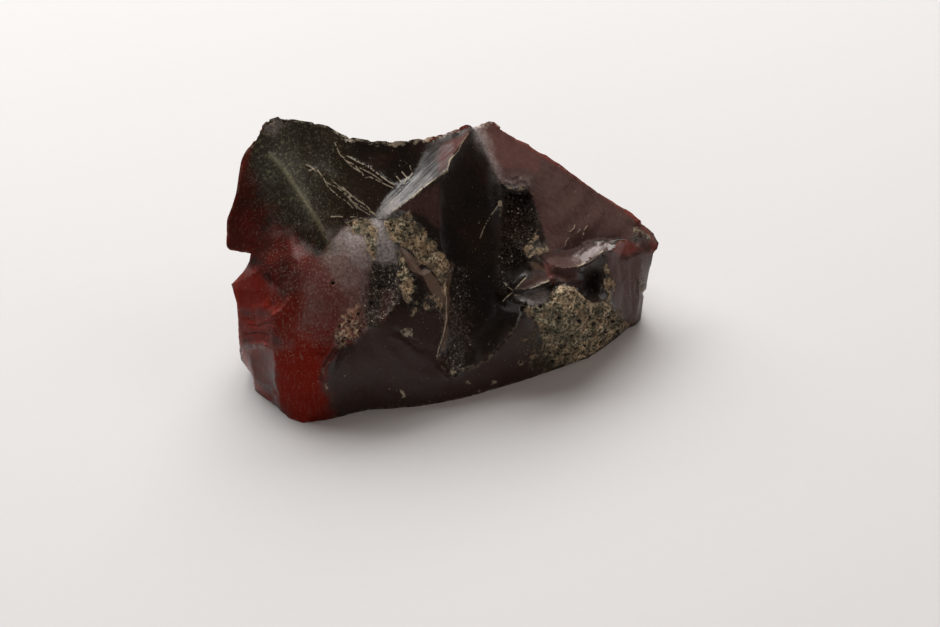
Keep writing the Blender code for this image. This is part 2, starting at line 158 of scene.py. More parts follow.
stoneSkin = {
    "ridgeAngle": 17.0,  # degrees between facets, past which their edge stays sharp
    "ridgeStep": 0.4,  # mm between the points noted along a sharp edge
    "weldGap": 0.00001,  # m
    "fineness": 1,  # levels of subdivision, before the faces that need it are cut finer
    "guideFineness": 3,  # levels of the smooth guide that the finer faces are laid on
    # mm, the longest edge that each cut leaves
    "longest": {"far": (3.0, 1.7), "near": (1.2, 0.87), "marks": (0.50, 0.33), "hackles": (0.22,)},
    "underside": (-0.8, 1.0),  # skin that faces down more and lies lower in mm is left coarse
    "markReach": 2.6,  # cells either side of a fine mark
    "hackleReach": 1.8,
    "smoothAngle": 40,  # degrees, past which the shading breaks
}


def finerCopy(nodeName, pieceName):
    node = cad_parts[nodeName]
    piece = bpy.data.objects.new(pieceName, node.data.copy())
    bpy.context.scene.collection.objects.link(piece)
    piece.data.materials.clear()
    makeActive(piece)
    bpy.ops.object.mode_set(mode="EDIT")
    bpy.ops.mesh.select_mode(type="EDGE")
    bpy.ops.mesh.select_all(action="SELECT")
    bpy.ops.mesh.remove_doubles(threshold=stoneSkin["weldGap"])
    bpy.ops.mesh.select_all(action="DESELECT")
    bpy.ops.mesh.edges_select_sharp(sharpness=math.radians(stoneSkin["ridgeAngle"]))
    bpy.ops.transform.edge_crease(value=1.0)
    bpy.ops.object.mode_set(mode="OBJECT")
    return piece


def ridgeSamples(piece):
    # points along the sharp edges that stand proud, each with how sharply it turns
    mesh = piece.data
    faceMiddles = [Vector(face.center) / mm for face in mesh.polygons]
    facesOf = {}
    for face in mesh.polygons:
        for key in face.edge_keys:
            facesOf.setdefault(key, []).append(face.index)
    samples = []
    for edge in mesh.edges:
        faces = facesOf[tuple(sorted(edge.vertices))]
        if len(faces) != 2:
            continue
        one, other = (mesh.polygons[index].normal for index in faces)
        turn = math.degrees(one.angle(other, 0))
        stands = (faceMiddles[faces[1]] - faceMiddles[faces[0]]).dot(one) < 0
        if turn > stoneSkin["ridgeAngle"] and stands:
            a, b = (mesh.vertices[index].co / mm for index in edge.vertices)
            steps = max(2, round((b - a).length / stoneSkin["ridgeStep"]))
            samples += [(a.lerp(b, step / steps), turn) for step in range(steps + 1)]
    return samples


def subdivide(piece, levels):
    makeActive(piece)
    finer = piece.modifiers.new("finer", "SUBSURF")
    finer.levels = levels
    finer.render_levels = levels
    bpy.ops.object.modifier_apply(modifier=finer.name)


stone = finerCopy("obsidian_chunk", "obsidian_stone")
proudEdges = ridgeSamples(stone)
guide = finerCopy("obsidian_chunk", "stone_guide")
subdivide(stone, stoneSkin["fineness"])
subdivide(guide, stoneSkin["guideFineness"])
print("stone skin:", len(stone.data.vertices), "points")


# Fine ridges (height above zero) and grooves (below), in cells and mm.

hackles = [
    # paired hackles of the hollow behind the wing
    (1.0, 0.10, [(335, 143), (340, 155), (344, 158)]),
    (0.9, 0.13, [(347, 156), (358, 162), (370, 168), (383, 178), (395, 186)]),
    (0.9, 0.10, [(344, 159), (352, 167), (362, 173), (365, 178), (370, 177), (380, 182), (393, 188)]),
    (0.8, 0.08, [(346, 161), (355, 165), (360, 172)]),
    (0.8, 0.06, [(360, 168), (372, 174), (382, 181)]),
    (0.9, 0.10, [(323, 177), (328, 187), (337, 195), (347, 202), (353, 208)]),
    (0.9, 0.11, [(327, 183), (338, 188), (347, 196), (353, 202), (363, 207), (375, 215)]),
    (0.9, 0.11, [(343, 188), (353, 197), (365, 205), (377, 216)]),
    (0.8, 0.08, [(332, 180), (343, 190), (352, 201), (357, 208)]),
    (0.8, 0.07, [(350, 200), (360, 209), (370, 215)]),
    (0.9, 0.09, [(306, 165), (311, 167), (316, 172)]),
    (0.8, 0.08, [(309, 171), (316, 168), (322, 176)]),
    (1.0, 0.11, [(330, 217), (337, 216.5), (343, 217)]),
    (1.0, 0.10, [(349, 217), (356, 217), (362, 218)]),
    # crest of the bright flake, and fuzz beside it
    (1.1, 0.10, [(389, 214), (400, 206), (412, 197), (425, 186), (437, 178), (447, 171)]),
    (1.0, 0.09, [(447, 171), (450, 160), (458, 151), (461, 144), (468, 134)]),
    (0.8, 0.05, [(402, 172), (407, 178), (404, 184)]),
    (0.8, 0.05, [(410, 166), (412, 174), (408, 180)]),
    (0.8, 0.05, [(396, 176), (401, 182)]),
    # hair on the valley wall, the crest beside the valley, and splinters round the star
    (0.9, 0.10, [(500, 203), (494, 211), (487, 222), (483, 230), (480, 238)]),
    (1.3, 0.16, [(443, 280), (446, 298), (446, 320), (443, 335), (438, 350), (437, 357)]),
    (1.0, 0.14, [(516, 289), (520, 284), (528, 276)]),
    (1.0, 0.16, [(530, 289), (540, 284), (549, 281)]),
    (0.8, 0.09, [(513, 292), (507, 297), (503, 301)]),
    (0.8, 0.08, [(512, 290), (507, 286), (503, 281)]),
    # the brow of the channel, its pale line a painted highlight, and curls on the big slab
    (0.9, 0.14, [(577, 267), (586, 263), (594, 258), (603, 251)]),
    (0.8, 0.08, [(575, 223), (574, 228), (571, 231), (567, 232)]),
    (0.8, 0.08, [(587, 226), (584, 230), (583, 235)]),
    (0.8, 0.07, [(569, 237), (566, 241), (565, 246)]),
    (0.8, 0.07, [(580, 229), (577, 233)]),
]
marks = [
    # curls at the foot of the lobe, and hairs on the valley wall
    (1.0, 0.12, [(504, 183), (510, 178), (517, 177), (524, 180), (528, 185)]),
    (1.1, 0.13, [(503, 188), (512, 189), (520, 188), (527, 185)]),
    (1.3, 0.08, [(499, 236), (494, 252), (491, 265), (490, 285)]),
    (0.9, 0.11, [(505, 247), (509, 243), (513, 246), (516, 249)]),
    (0.9, 0.09, [(507, 249), (512, 242), (518, 243)]),
    # the glossy channel and its brow
    (1.6, -0.26, [(541, 258), (547, 263), (550, 275)]),
    (1.4, -0.18, [(582, 268), (592, 264), (602, 257)]),
    (1.2, 0.14, [(583, 245), (590, 242), (598, 245), (604, 242), (612, 246), (620, 243)]),
    # flutes of the end face
    (1.5, -0.18, [(612, 268), (615, 285), (611, 300)]),
    (1.5, -0.16, [(640, 270), (636, 292), (641, 300), (638, 318)]),
    (1.6, -0.10, [(620, 266), (624, 290), (622, 312)]),
    (1.6, -0.10, [(632, 262), (631, 285), (633, 310)]),
    (0.9, 0.09, [(611, 262), (613, 275), (612, 288), (608, 300)]),
    (0.8, 0.07, [(630, 280), (629, 292), (632, 300)]),
    (0.9, 0.09, [(622, 284), (626, 278), (628, 271)]),
    (1.0, 0.10, [(610, 303), (612, 294), (615, 286), (614, 276)]),
    (0.9, 0.08, [(637, 276), (640, 284), (639, 292)]),
    # star of bright flakes
    (1.3, -0.20, [(516, 292), (530, 291), (545, 287), (552, 285)]),
    # red cleft below the crust, and the flakes by the pit
    (2.4, -0.16, [(343, 348), (337, 358), (329, 380), (325, 390), (330, 402), (336, 415)]),
    (1.1, 0.10, [(350, 345), (344, 358), (338, 372), (333, 388)]),
    (1.3, -0.14, [(409, 285), (420, 290), (433, 306)]),
    (1.1, 0.08, [(405, 300), (412, 303), (433, 307)]),
    (0.9, 0.08, [(390, 336), (400, 340), (412, 347)]),
    (0.9, -0.08, [(398, 330), (408, 338), (418, 342)]),
    (1.3, -0.22, [(437, 357), (444, 368), (453, 381)]),
    # ledges of the chipped left edge
    (2.2, -0.20, [(250, 320), (262, 317), (275, 320)]),
    (2.0, 0.16, [(248, 326), (262, 323), (275, 326)]),
    (2.2, -0.18, [(240, 342), (255, 340), (270, 341)]),
    (2.0, 0.14, [(240, 347), (255, 345), (270, 346)]),
    (1.8, -0.16, [(262, 311), (268, 308), (273, 305)]),
    (2.0, 0.26, [(270, 318), (280, 312), (287, 306), (290, 300)]),
    (2.2, -0.14, [(240, 300), (252, 304), (262, 302)]),
    (2.2, -0.12, [(243, 290), (258, 292), (270, 287)]),
    (1.2, 0.10, [(250, 365), (256, 386)]),
    (1.5, -0.18, [(262, 385), (272, 384), (277, 395)]),
    (1.0, 0.06, [(274, 350), (275, 390), (281, 411)]),
    (0.9, 0.07, [(348, 392), (350, 402), (350, 412)]),
    (0.9, 0.12, [(399, 390), (402, 394), (406, 396)]),
]
marks += hackles
rimmed = [(521, 363, 3.2), (559, 319, 3.6), (333, 283, 3.0)]  # holes with a raised rim: across, down, radius
rimWidth, rimHeight = 0.9, 0.10
for across, down, radius in rimmed:
    turns = np.linspace(0, 2 * math.pi, 13)
    circle = [(across + radius * math.cos(t), down + radius * math.sin(t)) for t in turns]
    marks.append((rimWidth, rimHeight, circle))
holes = [  # across, down, width in cells
    (559, 319, 2.2), (580, 322, 2.0), (594, 325, 1.8), (601, 321, 1.6), (614, 322, 2.0), (622, 322, 1.6),
    (594, 334, 1.6), (572, 337, 1.4), (553, 362, 1.8), (558, 354, 1.4), (541, 306, 1.8), (596, 314, 1.3),
    (606, 333, 1.4), (610, 318, 1.3), (585, 346, 1.3), (521, 363, 1.6), (523, 308, 1.4), (560, 345, 1.3),
    (550, 353, 1.3), (566, 356, 1.4), (577, 350, 1.2), (590, 318, 1.2), (603, 310, 1.3), (612, 312, 1.2),
    (618, 332, 1.3), (588, 336, 1.2), (602, 343, 1.3), (536, 309, 1.2), (333, 283, 1.6), (372, 303, 1.5),
    (380, 286, 1.6), (350, 322, 1.4), (358, 314, 1.3), (345, 338, 1.4), (340, 326, 1.3), (360, 331, 1.3),
]


def measure(piece):
    # where each point is, which way it looks, the cell it is seen in, and whether it is seen
    spots = readPoints(piece, "co") / mm
    facings = readPoints(piece, "normal")
    toEye = np.array(sighting["eye"]) - spots
    toEye /= np.linalg.norm(toEye, axis=1)[:, None]
    return spots, facings, cellsOf(spots), ramp(*sighting["seen"], np.sum(facings * toEye, 1))


def refineWhere(piece, chosen, longest):
    # cut once more the faces whose points are all chosen and that have an edge above the longest, in mm
    mesh = piece.data
    ends, edgeOf, pointOf, starts = (np.zeros(size, int) for size in (
        len(mesh.edges) * 2, len(mesh.loops), len(mesh.loops), len(mesh.polygons)))
    mesh.edges.foreach_get("vertices", ends)
    mesh.loops.foreach_get("edge_index", edgeOf)
    mesh.loops.foreach_get("vertex_index", pointOf)
    mesh.polygons.foreach_get("loop_start", starts)
    spots = readPoints(piece, "co") / mm
    spans = np.linalg.norm(spots[ends[::2]] - spots[ends[1::2]], axis=1)
    coarse = np.maximum.reduceat(spans[edgeOf], starts) > longest
    mesh.vertices.foreach_set("select", np.zeros(len(mesh.vertices), bool))
    mesh.edges.foreach_set("select", np.zeros(len(mesh.edges), bool))
    mesh.polygons.foreach_set("select", coarse & np.logical_and.reduceat(chosen[pointOf], starts))
    bpy.ops.object.mode_set(mode="EDIT")
    bpy.ops.mesh.select_mode(type="FACE")
    bpy.ops.mesh.subdivide(number_cuts=1, quadcorner="INNERVERT")
    bpy.ops.object.mode_set(mode="OBJECT")


makeActive(stone)
for part, lengths in stoneSkin["longest"].items():
    for longest in lengths:
        places, normals, cells, near = measure(stone)
        chosen = near > 0.5
        if part == "far":
            facing, height = stoneSkin["underside"]
            chosen = (near < 0.5) & ((normals[:, 2] > facing) | (places[:, 2] > height))
        elif part == "marks":
            toHole = np.min([toSpot(cells, across, down) - width for across, down, width in holes], 0)
            close = np.minimum(toNearest(cells, [points for _, _, points in marks]), toHole)
            chosen &= close < stoneSkin["markReach"]
        elif part == "hackles":
            chosen &= toNearest(cells, [points for _, _, points in hackles]) < stoneSkin["hackleReach"]
        refineWhere(stone, chosen, longest)
    print("cut finer,", part + ":", len(stone.data.vertices), "points")
hug = stone.modifiers.new("hug", "SHRINKWRAP")
hug.target = guide
hug.wrap_method = "NEAREST_SURFACEPOINT"
bpy.ops.object.modifier_apply(modifier=hug.name)
bpy.data.objects.remove(guide)
places, normals, cells, near = measure(stone)
triangles = sum(len(face.vertices) - 2 for face in stone.data.polygons)
print("laid on the guide:", len(places), "points,", triangles, "triangles")


# Zones: the kinds of skin on the stone, and where highlights, glow and shade are painted, drawn in cells.

slabTop = [(474, 122), (500, 120), (645, 215), (650, 232), (628, 238), (600, 240), (550, 252), (537, 210),
           (527, 188), (500, 182), (486, 150)]
channel = [(541, 255), (560, 251), (583, 244), (612, 241), (608, 251), (592, 262), (578, 272), (582, 286),
           (560, 281), (549, 274)]
starShelf = [(516, 290), (524, 280), (534, 272), (543, 270), (552, 279), (540, 285), (526, 290)]
redLowerFront = [(274, 348), (300, 336), (337, 346), (326, 365), (323, 385), (332, 412), (342, 426), (300, 432),
            (277, 412)]
leftFoot = [(238, 345), (270, 342), (274, 390), (256, 386)]
nearZones = {  # how strong, and the outline
    "rind": [  # tan weathered crust with gas holes
        (1.0, [(520, 305), (530, 308), (540, 306), (548, 300), (550, 293), (556, 288), (565, 284),
               (578, 290), (590, 305), (606, 301), (620, 312), (627, 328), (614, 344), (597, 356),
               (580, 363), (562, 370), (548, 362), (541, 345), (540, 325), (530, 316)]),
        (1.0, [(384, 221), (400, 214), (408, 213), (418, 224), (432, 240), (444, 252), (449, 262),
               (447, 275), (446, 298), (443, 290), (440, 281), (431, 269), (422, 264), (412, 253),
               (404, 246), (394, 244), (388, 234)]),
        (0.9, [(396, 246), (402, 254), (409, 268), (415, 280), (419, 291), (408, 297), (400, 286),
               (397, 270)]),
        (0.5, [(404, 286), (420, 290), (440, 298), (446, 312), (430, 318), (408, 312), (400, 300)]),
        (0.45, [(538, 318), (560, 300), (640, 318), (622, 350), (560, 380), (525, 372), (520, 340)]),
        (1.0, [(344, 222), (358, 217), (370, 222), (378, 231), (377, 246), (374, 260), (368, 250),
               (364, 237), (352, 232)]),
        (0.75, [(335, 330), (340, 318), (350, 310), (358, 303), (364, 318), (370, 328), (360, 338),
                (350, 345), (342, 350), (336, 348)]),
        (0.60, [(522, 249), (526, 243), (532, 236), (537, 230), (542, 240), (549, 252), (540, 256),
                (530, 262)]),
        (0.60, [(630, 224), (637, 226), (644, 228), (644, 238), (638, 240), (632, 236)]),
        (0.50, [(503, 187), (514, 184), (527, 187), (525, 195), (508, 195)]),
        (0.70, [(601, 268), (611, 264), (616, 282), (613, 303), (606, 302), (602, 286)]),
        (0.68, [(634, 276), (644, 275), (645, 291), (637, 293)]),
    ],
    "pit": [  # the dark rough hollow left of the crust
        (1.0, [(371, 260), (366, 280), (361, 295), (361, 305), (365, 320), (370, 327), (378, 325),
               (384, 318), (392, 308), (399, 302), (399, 285), (397, 262), (392, 256), (380, 262)]),
    ],
    "peppered": [  # dark skin broken by small pits
        (1.0, [(447, 262), (466, 268), (470, 340), (462, 372), (446, 374), (440, 350), (446, 320)]),
        (0.7, [(503, 190), (520, 196), (532, 200), (538, 215), (541, 232), (530, 240), (520, 262),
               (510, 285), (500, 290), (498, 262), (502, 230)]),
    ],
    "frost": [  # dusty matt skin
        (1.0, [(335, 236), (345, 227), (358, 223), (376, 220), (384, 232), (380, 250), (374, 262),
               (369, 290), (366, 305), (356, 312), (345, 335), (325, 345), (300, 335), (300, 290),
               (322, 262)]),
        (0.6, [(270, 232), (327, 250), (335, 262), (310, 345), (280, 340), (270, 300), (262, 262)]),
        (0.5, [(270, 318), (300, 330), (335, 340), (326, 362), (300, 366), (274, 358)]),
        (0.5, [(249, 317), (262, 315), (276, 314), (276, 323), (262, 324), (250, 325)]),
        (0.22, [(272, 350), (335, 345), (322, 365), (321, 385), (325, 400), (330, 412), (322, 424),
                (303, 426), (285, 415), (278, 392)]),
        (0.75, [(262, 112), (296, 112), (300, 150), (306, 180), (316, 215), (314, 235), (298, 215),
                (280, 185), (250, 190), (235, 180), (250, 140)]),
        (0.35, [(262, 112), (330, 112), (336, 150), (326, 215), (240, 250), (226, 200), (250, 140)]),
    ],
    "moss": [  # green-grey
        (1.0, [(262, 112), (290, 116), (306, 160), (318, 200), (328, 240), (310, 225), (290, 200),
               (268, 180), (250, 175), (245, 160), (252, 138)]),
        (0.55, [(262, 112), (335, 112), (350, 150), (350, 185), (345, 212), (335, 240), (280, 220),
                (240, 190)]),
        (0.45, [(308, 215), (330, 215), (342, 240), (342, 272), (330, 278), (318, 250)]),
        (0.8, [(545, 312), (560, 308), (574, 318), (574, 342), (560, 348), (546, 336)]),
        (0.7, [(594, 303), (606, 301), (621, 312), (618, 320), (600, 314)]),
        (0.6, [(530, 330), (548, 336), (566, 352), (574, 372), (540, 374), (528, 350)]),
    ],
    "ruddy": [  # deep red
        (1.0, redLowerFront),
        (1.0, [(228, 268), (262, 268), (278, 300), (276, 314), (234, 314), (230, 300)]),
        (0.78, [(234, 310), (276, 310), (273, 350), (262, 345), (238, 345)]),
        (0.45, leftFoot),
        (0.42, [(285, 262), (330, 262), (350, 300), (335, 345), (290, 335)]),
        (0.7, [(276, 322), (340, 322), (337, 352), (274, 352)]),
        (0.75, [(262, 272), (285, 290), (312, 285), (305, 320), (296, 345), (268, 340)]),
        (0.48, [(250, 205), (285, 225), (322, 258), (312, 300), (268, 300), (262, 262)]),
        (0.8, [(256, 386), (275, 392), (285, 420), (262, 400)]),
        (0.45, [(222, 150), (250, 150), (275, 225), (255, 258), (222, 255)]),
        (0.55, [(222, 195), (248, 195), (272, 232), (264, 262), (222, 255)]),
    ],
    "plum": [  # purple-brown
        (1.0, slabTop),
        (1.0, [(325, 246), (345, 225), (372, 222), (374, 255), (369, 285), (366, 312), (352, 340),
               (335, 350), (300, 345), (290, 330), (303, 285)]),
        (0.8, [(606, 250), (660, 236), (652, 262), (642, 325), (626, 330), (612, 300)]),
        (0.8, channel),
        (0.5, starShelf),
        (0.7, [(272, 345), (336, 340), (334, 362), (276, 362)]),
        (0.6, [(392, 214), (412, 198), (428, 186), (440, 184), (442, 226), (438, 230), (424, 218),
               (408, 211)]),
        (0.7, leftFoot),
        (0.5, [(400, 248), (412, 252), (424, 272), (440, 284), (446, 300), (432, 292), (412, 272)]),
    ],
    "silver": [  # the hackled flake, with its sheen painted on as a bright colour
        (1.0, [(372, 221), (376, 212), (387, 195), (396, 184), (408, 178), (422, 184), (412, 197),
               (396, 209), (388, 218)]),
        (0.6, [(400, 182), (410, 177), (418, 166), (425, 152), (440, 146), (456, 142), (452, 156),
               (447, 170), (430, 181), (414, 194)]),
        (1.0, [(517, 294), (530, 292), (545, 288), (551, 295), (547, 304), (530, 302)]),
        (0.35, [(583, 246), (592, 241), (612, 243), (606, 250), (592, 258), (578, 266), (572, 262)]),
    ],
    "paleDustAndPaintedHighlight": [  # pale dust, and painted highlights where flakes and ridges catch the light
        (1.0, [(366, 222), (376, 219), (386, 222), (394, 240), (398, 252), (397, 262), (384, 263),
               (373, 262), (369, 248), (364, 232)]),
        (0.28, [(352, 228), (372, 226), (374, 262), (362, 285), (340, 290), (325, 262), (335, 240)]),
        (0.8, [(350, 229), (372, 226), (376, 258), (364, 272), (350, 262), (345, 244)]),
        (0.9, [(372, 221), (378, 211), (390, 199), (400, 197), (396, 209), (386, 218)]),
        (1.0, [(517, 295), (530, 292), (546, 288), (551, 295), (545, 303), (529, 302)]),
        (0.75, [(473, 128), (480, 122), (487, 134), (494, 158), (502, 176), (498, 179), (488, 160),
                (478, 142)]),
        (0.35, [(500, 176), (530, 176), (534, 188), (504, 194)]),
        (0.30, [(583, 244), (612, 241), (606, 250), (588, 256)]),
        (0.55, [(262, 116), (276, 114), (284, 124), (274, 134), (262, 130)]),
    ],
    "mattAndPaintedShade": [  # matt, and painted shade: the glass there mirrors only its own dark colour
        (0.45, [(412, 180), (430, 160), (446, 158), (444, 172), (425, 186), (408, 198)]),
        (0.80, [(440, 183), (448, 170), (466, 140), (474, 140), (486, 170), (500, 250), (492, 320),
                (470, 345), (452, 300), (445, 250), (441, 225)]),
        (0.75, [(420, 164), (428, 148), (470, 126), (474, 134), (462, 150), (447, 172), (434, 180),
                (422, 176)]),
        (0.7, [(541, 255), (560, 251), (583, 262), (578, 272), (582, 286), (560, 281), (549, 274)]),
        (0.85, starShelf),
        (1.0, [(500, 186), (532, 190), (541, 232), (530, 262), (512, 280), (496, 262), (500, 220)]),
        (1.0, [(244, 238), (290, 232), (300, 262), (285, 290), (262, 285), (246, 262)]),
        (0.8, [(474, 335), (500, 318), (512, 318), (500, 350), (478, 360)]),
        (0.85, [(226, 180), (258, 180), (276, 225), (262, 262), (222, 258)]),
        (0.75, [(230, 284), (262, 288), (277, 300), (275, 345), (240, 347), (228, 310)]),
        (0.45, [(240, 348), (270, 345), (273, 388), (256, 384)]),
        (0.3, slabTop),
        (1.0, [(583, 274), (592, 268), (602, 270), (601, 282), (597, 296), (587, 297), (582, 286)]),
    ],
    "leaf": [  # smooth brown flakes beside the crust
        (1.0, [(400, 248), (407, 251), (415, 258), (421, 275), (410, 270), (403, 258)]),
        (1.0, [(421, 270), (428, 269), (439, 282), (445, 297), (443, 304), (433, 294), (424, 279)]),
        (0.6, [(530, 262), (537, 262), (545, 267), (549, 277), (541, 271), (533, 270)]),
        (0.5, [(560, 283), (572, 286), (578, 293), (561, 296), (557, 289)]),
        (0.6, [(443, 284), (448, 262), (455, 262), (450, 290), (449, 330), (445, 352), (440, 350),
               (444, 320)]),
    ],
    "redAndPaintedGlow": [  # red tone, with a painted glow of light through thin glass and a painted lighter top on the slab
        (0.45, [(440, 146), (455, 138), (466, 130), (472, 130), (462, 145), (452, 156), (446, 168),
                (438, 172), (436, 160)]),
        (0.9, [(614, 250), (617, 244), (622, 240), (628, 240), (638, 247), (640, 251), (627, 255),
               (618, 256)]),
        (0.8, [(652, 234), (660, 242), (659, 250), (650, 253)]),
        (0.65, [(335, 325), (345, 312), (358, 300), (364, 318), (370, 328), (352, 345), (340, 348)]),
        (0.30, [(380, 290), (396, 284), (398, 300), (390, 320), (379, 324), (376, 306)]),
        (0.38, [(300, 262), (345, 250), (366, 270), (360, 305), (345, 330), (310, 335), (295, 300)]),
        (0.16, [(270, 232), (290, 236), (312, 244), (308, 252), (285, 246), (272, 240)]),
        (0.35, [(474, 122), (500, 120), (545, 150), (540, 172), (505, 172), (485, 150)]),
        (0.5, [(540, 262), (552, 262), (556, 284), (548, 282)]),
    ],
    "satin": [  # the softly polished front
        (1.0, [(372, 327), (400, 308), (440, 312), (440, 350), (453, 381), (500, 350), (520, 318),
               (545, 345), (553, 372), (468, 400), (396, 410), (340, 418), (326, 385), (345, 346)]),
        (0.8, [(606, 256), (655, 246), (645, 325), (626, 328), (612, 300)]),
        (0.6, channel),
    ],
    "fleck": [  # pale flecks and bruises
        (0.5, [(264, 116), (272, 116), (280, 122), (272, 128), (264, 124)]),
        (0.45, [(474, 127), (484, 122), (494, 122), (500, 128), (490, 130), (480, 134), (475, 133)]),
        (0.52, [(330, 128), (345, 136), (362, 138), (400, 140), (430, 136), (432, 143), (410, 147),
                (390, 148), (365, 145), (345, 144), (334, 136)]),
        (1.0, [(498, 201), (502, 201), (503, 206), (499, 207)]),
        (0.6, [(399, 388), (406, 390), (408, 398), (401, 399)]),
        (0.45, [(401, 306), (412, 306), (417, 318), (408, 318)]),
        (0.58, [(396, 328), (405, 326), (416, 328), (415, 340), (404, 337)]),
        (0.55, [(462, 377), (470, 379), (474, 386), (464, 384)]),
        (0.55, [(490, 379), (498, 380), (498, 385), (491, 385)]),
        (0.55, [(518, 359), (524, 359), (525, 366), (518, 366)]),
        (0.55, [(476, 388), (482, 389), (481, 395), (476, 393)]),
        (0.4, [(644, 228), (652, 231), (651, 245), (645, 243)]),
        (0.5, [(320, 368), (325, 368), (326, 376), (321, 376)]),
        (0.5, [(323, 383), (328, 383), (330, 396), (325, 394)]),
        (0.4, [(448, 368), (458, 370), (457, 380), (452, 380)]),
    ],
}
farZones = {
    "rind": [(1.0, [(400, 300), (440, 285), (500, 290), (560, 300), (575, 330), (540, 372), (450, 395),
                    (405, 380)]),
             (0.5, [(560, 200), (610, 215), (630, 250), (600, 262), (565, 240)]),
             (0.5, [(330, 180), (352, 175), (360, 210), (340, 225)])],
    "pit": [(0.8, [(470, 240), (500, 235), (510, 262), (482, 275)])],
    "peppered": [(0.8, [(400, 270), (580, 255), (600, 330), (560, 370), (420, 380), (380, 330)])],
    "frost": [(0.5, [(250, 200), (330, 150), (380, 190), (380, 280), (330, 330), (260, 320)])],
    "moss": [(0.8, [(262, 112), (330, 112), (345, 145), (345, 200), (300, 220), (240, 190)])],
    "ruddy": [(0.6, [(222, 200), (275, 235), (318, 310), (330, 412), (300, 430), (250, 395), (225, 330)]),
              (0.3, [(560, 180), (645, 215), (650, 300), (600, 330), (560, 260)])],
    "plum": [(0.8, [(474, 122), (500, 120), (645, 215), (640, 300), (580, 280), (540, 230), (500, 182)])],
    "paleDustAndPaintedHighlight": [(0.4, [(400, 150), (470, 150), (470, 190), (410, 200)])],
    "redAndPaintedGlow": [(0.4, [(440, 132), (520, 130), (520, 150), (440, 155)])],
    "satin": [(0.7, [(300, 330), (400, 300), (400, 400), (310, 420)])],
    "fleck": [(0.5, [(336, 131), (430, 139), (430, 146), (345, 143)])],
}
zoneEdge = {  # cells over which each zone fades, and how far its edge wanders
    "rind": (11.0, 3.0), "pit": (7.0, 3.0), "peppered": (14.0, 6.0), "frost": (18.0, 6.0),
    "moss": (30.0, 8.0), "ruddy": (26.0, 5.0), "plum": (7.0, 2.0), "silver": (3.0, 1.0),
    "paleDustAndPaintedHighlight": (9.0, 3.0), "mattAndPaintedShade": (14.0, 3.0), "leaf": (3.0, 1.0), "redAndPaintedGlow": (9.0, 3.0),
    "satin": (12.0, 3.0), "fleck": (3.0, 2.0),
}
wanderSize = 2.4  # mm, how coarse the wandering of the edges is
wander = fractal(places, wanderSize)
zones = {}
for name, outlines in nearZones.items():
    fade, drift = zoneEdge[name]
    zones[name] = np.zeros(len(places))
    for side, drawn in ((near, outlines), (1 - near, farZones.get(name, []))):
        for strength, outline in drawn:
            depth = insideBy(cells, outline) + wander * drift
            zones[name] = np.maximum(zones[name], strength * ramp(-fade / 2, fade / 2, depth) * side)
print("zones laid out:", ", ".join(zones))


# Relief: what subdivision can't know.

relief = np.zeros(len(places))  # mm, along the normal

ripples = [  # cells, and the height in mm
    {"centre": (512, 152), "spacing": 7.0, "height": 0.10, "fade": 8,
     "within": [(498, 170), (520, 168), (534, 180), (532, 192), (506, 196)]},
    {"centre": (485, 118), "spacing": 24.0, "height": 0.07, "fade": 14, "within": slabTop},
    {"centre": (404, 222), "spacing": 15.0, "height": 0.02, "fade": 12,
     "within": [(340, 145), (420, 148), (396, 184), (372, 215), (330, 215), (318, 190)]},
    {"centre": (455, 300), "spacing": 20.0, "height": 0.06, "fade": 16,
     "within": [(372, 327), (440, 340), (452, 378), (500, 350), (512, 384), (396, 408), (340, 415),
                (330, 375)]},
    {"centre": (300, 470), "spacing": 18.0, "height": 0.06, "fade": 14, "within": redLowerFront},
    {"centre": (560, 252), "spacing": 9.0, "height": 0.07, "fade": 6,
     "within": [(545, 262), (590, 264), (600, 285), (590, 300), (560, 290)]},
]
ringWander = 4  # cells
for ripple in ripples:
    reach = toSpot(cells, *ripple["centre"]) + wander * ringWander
    strength = ramp(0, ripple["fade"], insideBy(cells, ripple["within"])) * near
    relief += strength * ripple["height"] * np.sin(reach / ripple["spacing"] * 2 * math.pi)

nearScars = [  # shallow dishes left by flakes: middle and radius in cells, then where the blow fell
    (250, 300, 13, 236, 296), (262, 290, 12, 246, 280), (254, 316, 12, 238, 318), (262, 330, 11, 240, 334),
    (252, 345, 10, 238, 346), (258, 372, 12, 246, 380), (268, 395, 10, 258, 398),
]
farScars = [
    (288, 142, 24, 280, 118), (322, 150, 20, 322, 126), (352, 168, 24, 350, 138), (388, 170, 26, 385, 140),
    (424, 166, 22, 424, 138), (456, 158, 20, 458, 130), (492, 158, 24, 492, 124), (530, 176, 22, 540, 150),
    (566, 200, 22, 576, 175), (604, 228, 24, 614, 200), (630, 262, 20, 648, 240), (256, 200, 24, 236, 195),
    (250, 300, 22, 232, 300), (258, 350, 22, 240, 352), (290, 392, 26, 280, 414), (345, 392, 24, 345, 413),
    (400, 384, 26, 400, 408), (460, 376, 26, 462, 398), (520, 358, 24, 524, 380), (572, 336, 24, 580, 360),
    (618, 300, 20, 640, 318), (440, 262, 46, 430, 160), (540, 268, 36, 570, 180), (340, 270, 46, 300, 140),
]
scarShape = {  # depth in mm, spacing of the rings as a share of the radius, height of the rings in mm
    "near": (0.30, 0.80, 0.03),
    "far": (0.80, 0.34, 0.05),
}
fullScar = 24  # cells, the radius from which a scar has its whole depth
for side, scars, reach in (("near", nearScars, near), ("far", farScars, 1 - near)):
    deepest, spacing, height = scarShape[side]
    dish = np.zeros(len(places))
    for across, down, radius, blowAcross, blowDown in scars:
        spread = toSpot(cells, across, down) / radius
        rings = toSpot(cells, blowAcross, blowDown) / radius / spacing
        depth = deepest * (spread ** 2 - 1) * min(1, radius / fullScar)
        depth += height * np.sin(2 * math.pi * rings + wander) * (spread < 1)
        dish = np.minimum(dish, np.where(spread < 1, depth, 0))
    relief += dish * reach

